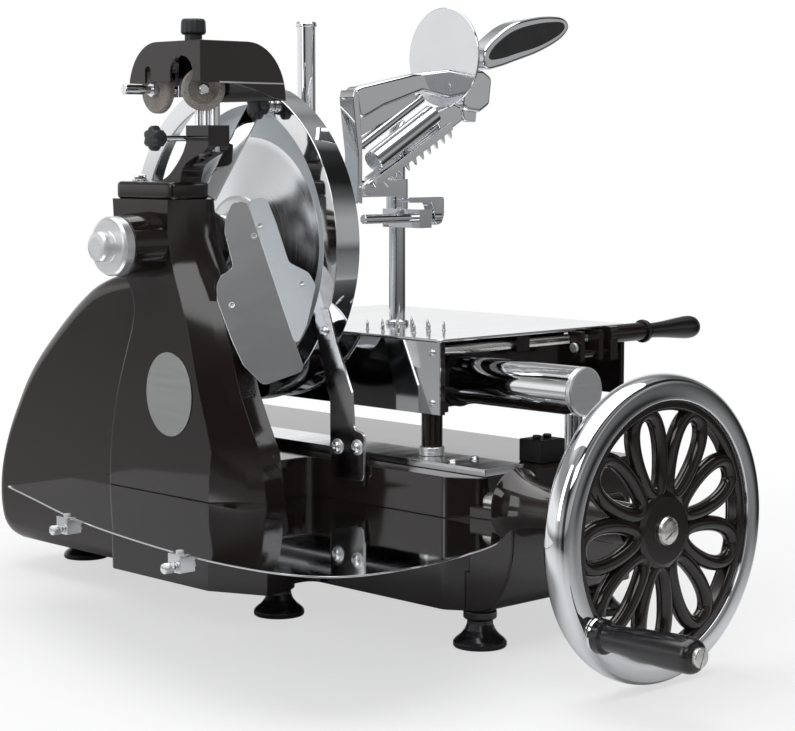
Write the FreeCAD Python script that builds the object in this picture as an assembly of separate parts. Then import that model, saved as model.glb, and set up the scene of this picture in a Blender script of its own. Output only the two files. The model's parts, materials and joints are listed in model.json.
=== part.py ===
import FreeCAD, Part
import math
import os

# Hand crank meat slicer. Everything is drawn about the blade axis: X runs along the blade axis
# towards the meat table, -Y points at the operator, Z is up, and the blade centre is 0, 0, 0.
# At export each piece is moved so that the origin lies on the table top under the middle of
# the footprint.

Vector = FreeCAD.Vector
X_AXIS = Vector(1, 0, 0)
Y_AXIS = Vector(0, 1, 0)
Z_AXIS = Vector(0, 0, 1)

# General clearances and stock
running_fit = 0.05
sliding_gap = 0.3
wall = 7.0
screw_head_radius = 5.5
screw_head_height = 3.5

# Overall sizes
axis_height = 394.0
foot_height = 37.0
blade_radius = 150.0

# Bed of the base casting
bed_left = -33.0
bed_right = 225.0
bed_front = -360.0
bed_back = 345.0
bed_top = -223.0
bed_bottom = foot_height - axis_height
corner_cut_x = 22.0
corner_cut_y = 32.0
apron_left = -22.0
apron_right = 150.0
apron_front = -412.0
apron_top = -250.0
neck_front = -130.0
web_reach = 55.0
post_pad_half = 16.0
shaft_bore_gap = 1.5

# Column casting: a thick block in front and a thinner lobe behind it, each a side outline in
# Y and Z with its thickness along X
column_left = -147.0
lobe_left = -127.0
lobe_rounding = 15.0
column_right = -92.0
column_front = -157.0
column_toe_top = -265.0
head_front = -43.0
head_back = 62.0
head_top = 57.0
lobe_back = 332.0
lobe_outline = ((head_back, -32.0), (141.0, -52.0), (215.0, -106.0), (264.0, -152.0),
                (307.0, -215.0), (lobe_back, -290.0))
front_outline = ((-148.0, -211.0), (-117.0, -153.0), (-94.0, -86.0), (-67.0, -27.0),
                 (-48.0, 9.0))
ridge_outline = ((head_back, -18.0), (44.0, -42.0), (47.0, -72.0), (64.0, -112.0),
                 (82.0, -155.0), (94.0, -200.0), (100.0, -262.0))
ridge_bottom = 96.0
column_wall = 6.0
neck_bolt_x = -133.0
neck_bolt_y = 30.0
neck_bolt_radius = 7.0
neck_bolt_height = 6.0
column_rounding = 10.0
shoulder_inset = 8.0
shoulder_front = -30.0
shoulder_height = 10.0
bearing_seat_gap = 3.0

# Feet: flared cups under the casting
foot_base_radius = 27.0
foot_waist_radius = 13.0
foot_top_radius = 17.0
foot_rim = 7.0
foot_neck_height = 24.0
foot_places = ((-57.0, -104.0), (-5.0, -352.0), (199.0, -332.0), (-20.0, 300.0),
               (199.0, 315.0))

# Blade, hub and blade shaft
blade_thickness = 3.5
bevel_radius = 138.0
bevel_depth = 5.0
dish_radius = 105.0
dish_start = 7.5
hub_flange_radius = 50.0
hub_flange_depth = 5.0
dish_depth = 22.0
hub_length = 30.0
hub_nose_radius = 30.0
blade_shaft_radius = 12.0
blade_bearing_radius = 26.0
blade_bearing_width = 12.0
housing_radius = 36.0
housing_left = -186.0
boss_radius = 34.0
boss_right = -62.0
cap_radius = 31.0
cap_thickness = 14.0
cap_hub_radius = 16.0
cap_hub_length = 15.0
hub_screw_circle = 40.0
hub_screw_count = 4

# Guard ring round the blade edge and what holds it
guard_radius = 175.0
guard_wall = 3.0
guard_left = -36.0
guard_right = -4.0
guard_inner_radius = 153.5
guard_face = 2.5
strap_width = 44.0
strap_thickness = 2.7
strap_screw_spread = 10.0
strap_y = -196.0
strap_top = -62.0
strap_bottom = -246.0
strap_top_front = -164.0
strap_top_back = -142.0
strap_bend_front = -170.0
strap_bend_back = -150.0
stay_width = 16.0
stay_thickness = 8.0
stay_foot = Vector(-94.0, -20.0, 48.0)
stay_head = Vector(-34.0, -44.0, 160.0)
clamp_y = -72.0
clamp_z = 146.0
clamp_radius = 11.0
star_radius = 15.0
star_length = 18.0
star_collar_radius = 7.0
star_collar_length = 8.0
stud_radius = 3.0
guard_stud_length = 24.0

# Flywheel
wheel_x = 0.0
wheel_z = -247.0
wheel_front = -586.0
wheel_radius = 144.0
rim_width = 24.0
rim_depth = 28.0
rim_rounding = 7.0
rim_inner_rounding = 3.0
spider_flange = 10.0
spider_inset = 5.0
spider_thickness = 12.0
petal_count = 9
petal_inner = 24.0
petal_rim_gap = 7.0
petal_outer = wheel_radius - rim_width - petal_rim_gap
petal_half_width = 19.5
petal_end_radius = 13.0
petal_band = 7.0
petal_phase = 104.0
hub_radius = 25.0
hub_depth = 34.0
hub_proud = 4.0
wheel_shaft_radius = 9.0
hub_screw_radius = 13.0
hub_screw_dome = 8.0
screw_slot_width = 2.4
crank_angle = -140.0
crank_inset = 17.0
crank_radius = wheel_radius - crank_inset
crank_pin_radius = 5.0
crank_head_radius = 9.0
crank_head_thickness = 5.0
grip_length = 112.0
grip_flange_radius = 16.0
grip_swell_radius = 15.5
grip_waist_radius = 11.0
snout_front = -545.0
snout_front_radius = 20.0
snout_back_radius = 24.0
bush_radius = 13.0
bush_length = 24.0

# Drive inside the casting: bevel pair, cross shaft, chain to the blade shaft
cross_y = -70.0
gear_radius = 14.0
gear_teeth = 14
gear_face_share = 0.6
gear_hub_radius = 9.0
gear_hub_length = 8.0
gear_seat_radius = 5.5
tooth_tip = 1.1
tooth_root = 1.8
tooth_share = 0.40
cross_shaft_radius = 8.0
cross_bush_radius = 12.0
chain_plane = -120.0
chain_width = 9.0
chain_height = 6.0
chain_pitch = 12.7
big_sprocket_teeth = 24
small_sprocket_teeth = 12
sprocket_width = 6.0
web_y = -150.0
web_thickness = 14.0

# Slide tube and carriage
tube_x = 88.0
tube_z = -141.0
tube_radius = 25.0
tube_wall = 4.0
tube_front = -409.0
tube_back = 335.0
tube_cap_thickness = 6.0
tube_cap_chamfer = 5.0
tube_spigot = 10.0
saddle_radius = 36.0
saddle_width = 24.0
saddle_lift = 4.0
post_radius = 9.0
post_y = -392.0
carriage_left = 12.0
carriage_right = 300.0
carriage_front = -279.0
carriage_back = 110.0
carriage_bottom = -170.0
carriage_wall = 6.0
bulkhead_front_y = -232.0
bulkhead_back_y = 84.0
bulkhead_thickness = 12.0
bush_wall = 5.0
panel_thickness = 1.7
table_top = -92.0
table_thickness = 3.0
table_left = 8.0
table_front = -282.0
guide_width = 12.0
guide_drop = 9.0
guide_inset = 12.0
guide_front_y = -200.0
guide_back_y = 40.0
ledge_height = 6.0
ledge_overhang = 3.0
roller_x = 26.0
roller_y = -252.0
roller_radius = 13.0
roller_ring_height = 9.0
roller_pin_radius = 5.0
roller_seat_half = 12.0
roller_seat_height = 10.0
rail_left = -5.0
rail_right = 52.0
rail_height = 8.0
rail_front = -358.0
rail_back = 330.0
stop_left = 100.0
stop_right = 136.0
stop_front = -338.0
stop_back = -306.0
stop_height = 24.0
stop_bolts_x = (110.0, 126.0)
stop_bolt_radius = 4.5
stop_bolt_height = 4.0

# Feed screw, nut and the table lever with its grip
feed_y = -256.0
feed_over_tube = 9.0
feed_z = tube_z + tube_radius + feed_over_tube
feed_radius = 5.0
feed_nut_left = 140.0
feed_nut_width = 20.0
feed_nut_half = 9.0
feed_nut_drop = 7.0
feed_cap_radius = 9.0
feed_cap_length = 6.0
lever_pivot_y = -291.0
lever_pivot_z = -120.0
lever_pin_radius = 4.0
ear_left = 205.0
ear_gap = 30.0
ear_width = 7.0
ear_drop = 35.0
ear_reach = 7.0
lever_x = 252.0
lever_arm_width = 12.0
lever_arm_half = 9.0
lever_arm_back = 7.0
lever_pin_end = 4.0
lever_rise = 19.0
lever_sleeve_length = 50.0
lever_sleeve_radius = 10.0
feed_grip_length = 96.0
feed_grip_radius = 13.0

# Spikes that hold the meat
spike_rows = (-205.0, -172.0, -139.0)
spike_columns = 4
spike_left = 24.0
spike_pitch = 22.0
spike_stagger = 8.0
spike_radius = 2.2
spike_tip_radius = 0.5
spike_height = 10.0

# Posts and press
post_foot_margin = 4.0
post_foot_height = 5.0
post_cap_height = 6.0
post_cap_overhang = 1.5
post_x = 110.0
main_post_y = -112.0
main_post_radius = 9.0
main_post_top = 132.0
rear_post_y = 38.0
rear_post_radius = 10.5
rear_post_top = 245.0
press_y = -135.0
press_width = 22.0
press_pivot_x = 30.0
press_pivot_z = 58.0
press_pin_radius = 5.0
slider_radius = 12.0
slider_bottom = 16.0
slider_top = 68.0
clamp_rod_y = -160.0
clamp_rod_z = 27.0
clamp_rod_radius = 5.0
clamp_rod_left = 14.0
pivot_arm_thickness = 12.0
pivot_arm_half = 9.0
pivot_arm_end = 10.0
rod_block_left = 88.0
rod_block_right = 106.0
rod_block_front = -170.0
rod_block_top = 36.0
clamp_nut_radius = 8.5
clamp_nut_width = 12.0
clamp_arm_left = 118.0
clamp_arm_width = 10.0
clamp_arm_half = 7.0
clamp_arm_drop = 8.0
paddle_left = 80.0
paddle_bottom = 41.0
paddle_top = 47.0
handle_half = 15.0
disc_x = 158.0
disc_z = 201.0
disc_radius = 54.0
disc_thickness = 2.5
disc_slot_gap = 1.3
tooth_count = 10
tooth_length = 8.0
tooth_half = 3.0
tooth_thickness = 3.0
gripper_start = Vector(41.4, 0, 66.3)
gripper_end = Vector(160.0, 0, 130.0)
gripper_drop = 9.0
press_arm_outline = ((14, 152), (13, 167), (110, 183), (190, 190), (214, 197), (232, 194),
                     (226, 176), (218, 150), (206, 140), (186, 138), (182, 152), (120, 160),
                     (34, 138), (40, 112), (34, 92), (50, 76), (44, 46), (22, 44), (16, 60),
                     (22, 96))
paddle_outline = ((232, 194), (262, 202), (300, 212), (335, 226), (352, 238), (350, 247),
                  (332, 252), (300, 249), (262, 240), (232, 222), (214, 197))

# Sharpener on the neck of the column
sharp_x = -120.0
sharp_y = -68.0
neck_left = -140.0
neck_right = -100.0
neck_block_bottom = 92.0
neck_block_top = 126.0
neck_block_half = 25.0
neck_root_back = 27.0
neck_root_front = -33.0
neck_back_bend = (3.0, 84.0)
neck_front_bends = ((-65.0, 92.0), (-41.0, 78.0))
lock_stud_y = -64.0
lock_stud_z = 112.0
lock_stud_reach = 34.0
lock_stud_length = 42.0
hood_left = -176.0
hood_right = -64.0
hood_front = -128.0
hood_back = -9.0
hood_bottom = 155.0
hood_top = 209.0
hood_wall = 4.0
hood_slope_run = 38.0
hood_slope_drop = 40.0
hood_bend_run = 14.0
hood_bend_drop = 16.0
hood_lip = 6.0
hood_slot_front = -49.0
hood_slot_back = -35.0
hood_slot_bottom = 160.0
hood_slot_top = 184.0
hood_block_half_x = 20.0
hood_block_half_y = 22.0
hood_block_lift = 15.0
arch_y = -95.0
arch_radius = 19.0
arch_spring = 178.0
rod_radius = 5.0
stone_radius = 24.0
stone_thickness = 8.0
spindle_radius = 4.0
stone_z = 161.0
grinding_y = -38.0
honing_x = -152.0
honing_y = -101.0
honing_axis = Vector(-0.5, -math.sqrt(0.75), 0)
rod_spacing = 13.0
spindle_arm = 7.0
honing_spindle_back = 22.0
honing_spindle_length = 34.0
knob_x = -137.0
knob_radius = 13.0
knob_height = 20.0

# Slice tray and its clips
tray_top = -264.0
tray_thickness = 1.6
tray_outline = ((-150.0, 140.0), (-235.0, 140.0), (-297.0, -68.0), (-335.0, -297.0),
                (-314.0, -459.0), (-219.0, -484.0), (-144.0, -473.0), (-74.0, -452.0),
                (-50.0, -414.0), (-36.0, -350.0), (-36.0, -133.0), (-89.0, -133.0),
                (-89.0, -160.0), (-150.0, -160.0))
clip_places = ((-295.0, -68.0), (-332.0, -297.0))
arm_width = 14.0
arm_thickness = 5.0
clip_outer = 12.0
clip_inner = 4.0
clip_half = 8.0
clip_height = 14.0
clip_screw_drop = 9.0
tray_screw_radius = 5.0
tray_screw_reach = 26.0
tray_stud_length = 24.0

# Deflector plates between the column and the blade
deflector_thickness = 2.0
deflector_shift = -5.5
wing_outline = ((-66, -60, 47), (-80, -53, 44), (-90, -54, 28), (-95, -58, 16), (-97, -75, -23),
                (-110, -71, -30), (-117, -72, -40), (-121, -77, -56), (-119, -98, -96),
                (-116, -113, -121), (-103, -130, -142), (-62, -148, -128))
chute_outline = ((-66, -60, 47), (-46, -67, 51), (-44, -81, 24), (-44, -102, -18),
                 (-27, -114, -29), (-24, -122, -42), (-46, -132, -83), (-64, -136, -105))

# Badge plate, bare
badge_y = -34.0
badge_z = -156.0
badge_width = 77.0
badge_height = 89.0
badge_thickness = 1.2


def box(x0, x1, y0, y1, z0, z1):
    return Part.makeBox(x1 - x0, y1 - y0, z1 - z0, Vector(x0, y0, z0))


def rod(start, axis, radius, length):
    return Part.makeCylinder(radius, length, start, axis)


def sleeve(start, axis, outer, inner, length):
    return rod(start, axis, outer, length).cut(rod(start, axis, inner, length))


def cone(start, axis, radius_0, radius_1, length):
    return Part.makeCone(radius_0, radius_1, length, start, axis)


def closed_face(points):
    return Part.Face(Part.makePolygon([Vector(*p) for p in points] + [Vector(*points[0])]))


def prism_x(points_yz, x0, x1):
    face = closed_face([(x0, y, z) for y, z in points_yz])
    return face.extrude(Vector(x1 - x0, 0, 0))


def prism_y(points_xz, y0, y1):
    face = closed_face([(x, y0, z) for x, z in points_xz])
    return face.extrude(Vector(0, y1 - y0, 0))


def prism_z(points_xy, z0, z1):
    face = closed_face([(x, y, z0) for x, y in points_xy])
    return face.extrude(Vector(0, 0, z1 - z0))


def turned(points, origin, axis):
    """Turn an outline of (radius, distance along the axis) about the axis."""
    face = closed_face([(r, 0, h) for r, h in points])
    solid = face.revolve(Vector(0, 0, 0), Z_AXIS, 360)
    turn = FreeCAD.Rotation(Z_AXIS, axis)
    solid.Placement = FreeCAD.Placement(origin, turn)
    return solid


def slab(points, thickness, shift):
    """A flat plate from its corner points in space, made thick along its normal."""
    corners = [Vector(*p) + shift for p in points]
    normal = (corners[-1] - corners[0]).cross(corners[1] - corners[0])
    normal.normalize()
    flat = [c - normal * (c - corners[0]).dot(normal) for c in corners]
    face = Part.Face(Part.makePolygon(flat + [flat[0]]))
    return face.extrude(normal * thickness)


def bar(start, end, width, thickness):
    """A square-edged bar between two points; its width lies across X."""
    along = end - start
    across = along.cross(X_AXIS)
    across.normalize()
    side = along.cross(across)
    side.normalize()
    corners = [start + across * (width * a / 2) + side * (thickness * b / 2)
               for a, b in ((-1, -1), (1, -1), (1, 1), (-1, 1))]
    face = Part.Face(Part.makePolygon(corners + [corners[0]]))
    return face.extrude(along)


def rounded_edges(shape, radius, wanted):
    """Fillet the edges that the test picks out."""
    picked = [e for e in shape.Edges if wanted(e)]
    return shape.makeFillet(radius, picked)


def on_plane_x(edge, x):
    return all(abs(v.X - x) < 0.01 for v in edge.Vertexes)


def fused(*shapes):
    """Join shapes into one solid and drop the seams between flush faces."""
    whole = shapes[0].multiFuse(list(shapes[1:]))
    return whole.removeSplitter().Solids[0]


def star_knob(centre_start, axis, radius, length):
    """A lobed knob: a core with seven round lobes."""
    lobes = 7
    core = rod(centre_start, axis, radius * 0.8, length)
    turn = FreeCAD.Rotation(Z_AXIS, axis)
    for i in range(lobes):
        angle = 2 * math.pi * i / lobes
        offset = Vector(radius * 0.72 * math.cos(angle), radius * 0.72 * math.sin(angle), 0)
        place = centre_start + turn.multVec(offset)
        core = core.fuse(rod(place, axis, radius * 0.28, length))
    return core.removeSplitter()


def polar(radius, degrees):
    return radius * math.cos(math.radians(degrees)), radius * math.sin(math.radians(degrees))


origin_shift = Vector(0, 0, 0)
boxes = []


def save(name, *solids):
    shape = Part.makeCompound([s for s in solids])
    shape.translate(origin_shift)
    shape.exportStep("parts/" + name + ".step")
    boxes.append(shape.BoundBox)


def wheel_point(radius, degrees, y):
    """A point on the flywheel; degrees are counted from +X towards +Z."""
    dx, dz = polar(radius, degrees)
    return Vector(wheel_x + dx, y, wheel_z + dz)


# Base casting

def base_casting():
    corner = ((bed_left, bed_front + corner_cut_y), (bed_left + corner_cut_x, bed_front),
              (bed_right, bed_front), (bed_right, bed_back), (bed_left, bed_back))
    bed = prism_z(corner, bed_bottom, bed_top)
    apron = box(apron_left, apron_right, apron_front, bed_front + wall, bed_bottom, apron_top)
    neck = box(column_right, bed_left + wall, neck_front, bed_back, bed_bottom, bed_top)
    shell = fused(bed, apron, neck)
    inner_corner = ((bed_left + wall, bed_front + corner_cut_y + wall / 2),
                    (bed_left + corner_cut_x + wall / 2, bed_front + wall),
                    (bed_right - wall, bed_front + wall), (bed_right - wall, bed_back - wall),
                    (bed_left + wall, bed_back - wall))
    bed_hollow = prism_z(inner_corner, bed_bottom, bed_top - wall)
    apron_hollow = box(apron_left + wall, apron_right - wall, apron_front + wall,
                       bed_front + 2 * wall, bed_bottom, apron_top - wall)
    neck_hollow = box(column_right, bed_left + 2 * wall, neck_front + wall, bed_back - wall,
                      bed_bottom, bed_top - wall)
    shell = shell.cut(bed_hollow).cut(neck_hollow).cut(apron_hollow)
    snout = cone(Vector(wheel_x, snout_front, wheel_z), Y_AXIS, snout_front_radius,
                 snout_back_radius, bed_front + wall - snout_front)
    web = box(bed_left + wall, bed_left + wall + web_reach, web_y, web_y + web_thickness,
              bed_bottom, bed_top - wall)
    post_pad = box(tube_x - post_pad_half, tube_x + post_pad_half, apron_front,
                   bed_front + wall, apron_top - wall, apron_top)
    shell = fused(shell, snout, web, post_pad)
    pads = [foot_pad(x, y) for x, y in foot_places]
    shell = fused(shell, *pads)
    shaft_length = bed_front - snout_front + 40
    bore = rod(Vector(wheel_x, snout_front, wheel_z), Y_AXIS,
               wheel_shaft_radius + shaft_bore_gap, shaft_length)
    front_seat = rod(Vector(wheel_x, snout_front, wheel_z), Y_AXIS, bush_radius, bush_length)
    back_seat = rod(Vector(wheel_x, web_y, wheel_z), Y_AXIS, bush_radius, web_thickness)
    shell = shell.cut(bore).cut(front_seat).cut(back_seat)
    return shell.removeSplitter()


def foot_pad(x, y):
    """A pad inside the casting's rim, widened until it meets the nearest walls."""
    r = foot_top_radius
    reach = foot_top_radius + wall
    x0 = x - r
    x1 = x + (reach if x > 0.5 * bed_right else r)
    y0 = y - (reach if y < 0 else r)
    y1 = y + (r if y < 0 else bed_back - wall / 2 - y)
    return box(x0, min(x1, bed_right - 1), y0, y1, bed_bottom, bed_bottom + wall)


# Column casting

def block_face(x, inset):
    """The side outline of the thick front block, drawn in by the inset."""
    points = [(head_back - inset, head_top - inset), (head_front + inset, head_top - inset)]
    points += [(y + inset, z) for y, z in reversed(front_outline)]
    points += [(column_front + inset, column_toe_top), (column_front + inset, bed_bottom)]
    points += [(ridge_bottom - inset, bed_bottom)]
    points += [(y - inset, z) for y, z in reversed(ridge_outline)]
    return closed_face([(x, y, z) for y, z in points])


def lobe_face(x, inset):
    """The side outline of the thin lobe, which starts inside the block."""
    lobe = [Vector(x, y - inset, z - inset * 0.6) for y, z in lobe_outline]
    lobe[0] = Vector(x, head_back - inset, lobe_outline[0][1] - inset)
    curve = Part.BSplineCurve()
    curve.interpolate(lobe)
    corners = [lobe[-1], Vector(x, lobe_back - inset, bed_bottom), Vector(x, 0, bed_bottom),
               Vector(x, 0, lobe[0].z), lobe[0]]
    edges = [curve.toShape()]
    edges += [Part.makeLine(a, b) for a, b in zip(corners, corners[1:])]
    return Part.Face(Part.Wire(Part.__sortEdges__(edges)))


def on_lobe_rim(edge):
    """True for the lobe's outer edges that show, from the head round to the back."""
    return on_plane_x(edge, lobe_left) and min(v.Y for v in edge.Vertexes) > head_back - 1


def column_casting():
    block = block_face(column_left, 0).extrude(Vector(column_right - column_left, 0, 0))
    block = rounded_edges(block, column_rounding,
                          lambda e: on_plane_x(e, column_left) and not lies_flat(e))
    lobe = lobe_face(lobe_left, 0).extrude(Vector(column_right - lobe_left, 0, 0))
    lobe = rounded_edges(lobe, lobe_rounding, on_lobe_rim)
    outer = fused(block, lobe)
    inner_x = column_left + column_wall
    inner_right = column_right - column_wall
    lobe_inner = lobe_left + column_wall
    hollow = block_face(inner_x, column_wall).extrude(Vector(inner_right - inner_x, 0, 0))
    lobe_hollow = lobe_face(lobe_inner, column_wall)
    hollow = hollow.fuse(lobe_hollow.extrude(Vector(inner_right - lobe_inner, 0, 0)))
    housing = rod(Vector(housing_left, 0, 0), X_AXIS, housing_radius,
                  column_left + column_wall - housing_left)
    boss = rod(Vector(column_right - column_wall, 0, 0), X_AXIS, boss_radius,
               boss_right - column_right + column_wall)
    bore_boss = rod(Vector(inner_x, cross_y, wheel_z), X_AXIS, cross_bush_radius + wall / 2, 10)
    shell = fused(outer.cut(hollow), housing, boss, bore_boss)
    shaft_bore = rod(Vector(housing_left - 1, 0, 0), X_AXIS, blade_shaft_radius + 2,
                     boss_right - housing_left + 2)
    seat_depth = blade_bearing_width + bearing_seat_gap
    left_seat = rod(Vector(housing_left, 0, 0), X_AXIS, blade_bearing_radius, seat_depth)
    right_seat = rod(Vector(boss_right - seat_depth, 0, 0), X_AXIS, blade_bearing_radius,
                     seat_depth)
    cross_seat = rod(Vector(column_right - column_wall - 1, cross_y, wheel_z), X_AXIS,
                     cross_bush_radius, column_wall + 2)
    blind_bore = rod(Vector(inner_x + 2, cross_y, wheel_z), X_AXIS,
                     cross_shaft_radius + running_fit, 10)
    shell = shell.cut(shaft_bore).cut(left_seat).cut(right_seat).cut(cross_seat)
    return shell.cut(blind_bore).removeSplitter()


def lies_flat(edge):
    """True for the outline's bottom edge, which stays sharp."""
    return all(abs(v.Z - bed_bottom) < 0.01 for v in edge.Vertexes)


def neck_arm():
    """The swan neck that stands on the head and carries the sharpener rods."""
    block_front = sharp_y - neck_block_half
    block_back = sharp_y + neck_block_half
    outline = ((neck_root_back, head_top), neck_back_bend, (block_back, neck_block_top),
               (block_front, neck_block_top), (block_front, neck_block_bottom))
    outline += neck_front_bends + ((neck_root_front, head_top),)
    arm = prism_x(outline, neck_left, neck_right)
    shoulder = box(column_left + shoulder_inset, column_right, shoulder_front,
                   head_back - shoulder_inset / 2, head_top, head_top + shoulder_height)
    arm = fused(arm, shoulder)
    for y in rod_places():
        place = Vector(sharp_x, y, neck_block_bottom - 40)
        arm = arm.cut(rod(place, Z_AXIS, rod_radius + running_fit, 120))
    stud_start = Vector(neck_left, lock_stud_y, lock_stud_z)
    arm = arm.cut(rod(stud_start, X_AXIS, stud_radius + running_fit, 10))
    return arm


def foot(x, y):
    base = -axis_height
    outline = ((0, base), (foot_base_radius, base), (foot_base_radius, base + foot_rim),
               (foot_waist_radius, base + foot_neck_height), (foot_top_radius, bed_bottom),
               (0, bed_bottom))
    return turned(outline, Vector(x, y, 0), Z_AXIS)


# Blade and blade shaft

def blade():
    t = blade_thickness
    outline = ((blade_shaft_radius + 3, -dish_depth), (hub_flange_radius, -dish_depth),
               (dish_radius, -dish_start), (bevel_radius, -bevel_depth),
               (blade_radius, -0.6), (blade_radius, 0.0), (bevel_radius, -0.8),
               (dish_radius, -dish_start + t), (hub_flange_radius, -dish_depth + t),
               (blade_shaft_radius + 3, -dish_depth + t))
    return turned(outline, Vector(0, 0, 0), X_AXIS)


def blade_hub():
    outline = ((blade_shaft_radius, -dish_depth), (hub_flange_radius, -dish_depth),
               (hub_flange_radius, -dish_depth - hub_flange_depth),
               (hub_nose_radius, -dish_depth - 2 * hub_flange_depth),
               (hub_nose_radius, -dish_depth - hub_length),
               (blade_shaft_radius, -dish_depth - hub_length))
    return turned(outline, Vector(0, 0, 0), X_AXIS)


def hub_screws():
    screws = []
    for i in range(hub_screw_count):
        y, z = polar(hub_screw_circle, 45 + 360 * i / hub_screw_count)
        start = Vector(-dish_depth + blade_thickness, y, z)
        screws.append(rod(start, X_AXIS, screw_head_radius, screw_head_height))
    return screws


def gear_wire(teeth, pitch_radius, tip, root, phase, centre, x_dir, y_dir):
    """A closed toothed outline with flat-topped teeth."""
    points = []
    step = 360.0 / teeth
    low = pitch_radius - root
    high = pitch_radius + tip
    for i in range(teeth):
        middle = phase + i * step
        half_base = step * (tooth_share + 0.1) / 2
        half_top = step * (tooth_share - 0.14) / 2
        for radius, angle in ((low, middle - half_base), (high, middle - half_top),
                              (high, middle + half_top), (low, middle + half_base)):
            a, b = polar(radius, angle)
            points.append(centre + x_dir * a + y_dir * b)
    return Part.makePolygon(points + [points[0]])


def bevel_gear(apex, axis, phase, x_dir):
    """A straight bevel gear with its hub behind it; two alike mesh at right angles."""
    tip = tooth_tip * math.sqrt(2)
    root = tooth_root * math.sqrt(2)
    r = gear_radius
    share = gear_face_share
    outer = gear_wire(gear_teeth, r, tip, root, phase, apex - axis * r, x_dir, Z_AXIS)
    inner = gear_wire(gear_teeth, r * share, tip * share, root * share, phase,
                      apex - axis * (r * share), x_dir, Z_AXIS)
    teeth = Part.makeLoft([outer, inner], True, True)
    hub_start = apex - axis * (r + gear_hub_length)
    hub = rod(hub_start, axis, gear_hub_radius, gear_hub_length)
    return fused(teeth, hub).cut(rod(hub_start, axis, gear_seat_radius, r + gear_hub_length))


def drive_gear():
    return bevel_gear(Vector(wheel_x, cross_y, wheel_z), Y_AXIS, 0.0, X_AXIS)


def cross_gear():
    half_step = 180.0 / gear_teeth
    return bevel_gear(Vector(wheel_x, cross_y, wheel_z), X_AXIS, 180.0 + half_step, Y_AXIS)


def sprocket_pitch_radius(teeth):
    return chain_pitch / (2 * math.sin(math.pi / teeth))


def sprocket(teeth, y, z, bore):
    pitch_radius = sprocket_pitch_radius(teeth)
    centre = Vector(chain_plane - sprocket_width / 2, y, z)
    tip = -chain_height / 2 - sliding_gap
    wire = gear_wire(teeth, pitch_radius, tip, chain_height / 2 + 3, 0.0, centre, Y_AXIS,
                     Z_AXIS)
    disc = Part.Face(wire).extrude(Vector(sprocket_width, 0, 0))
    return disc.cut(rod(centre - X_AXIS * 5, X_AXIS, bore, sprocket_width + 10))


def belt_face(x, centre_0, radius_0, centre_1, radius_1):
    """The outline of a belt round two discs, in a plane across X."""
    dy = centre_1[0] - centre_0[0]
    dz = centre_1[1] - centre_0[1]
    span = math.hypot(dy, dz)
    heading = math.atan2(dz, dy)
    lean = math.acos((radius_0 - radius_1) / span)

    def at(centre, radius, angle):
        return Vector(x, centre[0] + radius * math.cos(angle),
                      centre[1] + radius * math.sin(angle))
    a0 = at(centre_0, radius_0, heading + lean)
    a1 = at(centre_0, radius_0, heading - lean)
    b0 = at(centre_1, radius_1, heading + lean)
    b1 = at(centre_1, radius_1, heading - lean)
    far_0 = at(centre_0, radius_0, heading + math.pi)
    far_1 = at(centre_1, radius_1, heading)
    edges = [Part.Arc(a0, far_0, a1).toShape(), Part.makeLine(a1, b1),
             Part.Arc(b1, far_1, b0).toShape(), Part.makeLine(b0, a0)]
    return Part.Face(Part.Wire(edges))


def drive_chain():
    low = (cross_y, wheel_z)
    high = (0.0, 0.0)
    x = chain_plane - chain_width / 2
    big = sprocket_pitch_radius(big_sprocket_teeth)
    small = sprocket_pitch_radius(small_sprocket_teeth)
    half = chain_height / 2
    outer = belt_face(x, low, big + half, high, small + half)
    inner = belt_face(x, low, big - half, high, small - half)
    return outer.extrude(Vector(chain_width, 0, 0)).cut(inner.extrude(Vector(chain_width, 0, 0)))


# Guard ring, strap, stay and deflector

def guard_ring():
    outline = ((guard_radius - guard_wall, guard_right), (guard_radius, guard_right),
               (guard_radius, guard_left), (guard_inner_radius, guard_left),
               (guard_inner_radius, guard_left + guard_face),
               (guard_radius - guard_wall, guard_left + guard_face))
    ring = turned(outline, Vector(0, 0, 0), X_AXIS)
    boss = rod(Vector(guard_left + guard_face, clamp_y, clamp_z), X_AXIS, clamp_radius,
               guard_right - guard_left - guard_face)
    ring = ring.fuse(boss).removeSplitter()
    stud_hole = rod(Vector(guard_left - 1, clamp_y, clamp_z), X_AXIS,
                    stud_radius + running_fit, 20)
    return ring.cut(stud_hole)


def guard_strap():
    left = guard_left - strap_thickness
    plate = prism_x(((strap_y - strap_width / 2, strap_bottom),
                     (strap_y + strap_width / 2, strap_bottom),
                     (strap_y + strap_width / 2, strap_bend_back),
                     (strap_top_back, strap_top), (strap_top_front, strap_top),
                     (strap_y - strap_width / 2, strap_bend_front)),
                    left, guard_left)
    spacer = box(guard_left, bed_left, strap_y - strap_width / 2, strap_y + strap_width / 2,
                 strap_bottom, bed_top)
    return fused(plate, spacer)


def guard_stay():
    """The bar from the column's head to the ring, cut flush with both."""
    stay = bar(stay_foot, stay_head, stay_width, stay_thickness)
    column_side = box(column_left, column_right, head_front, head_back, 0, 2 * head_top)
    ring_side = box(guard_left, guard_right, clamp_y, head_back, head_top, guard_radius)
    return stay.cut(column_side).cut(ring_side)


def deflector_wing():
    return slab(wing_outline, deflector_thickness, Vector(0, deflector_shift, 0))


def deflector_chute():
    return slab(chute_outline, deflector_thickness, Vector(0.6, deflector_shift - 0.6, 0))


# Flywheel

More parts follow.
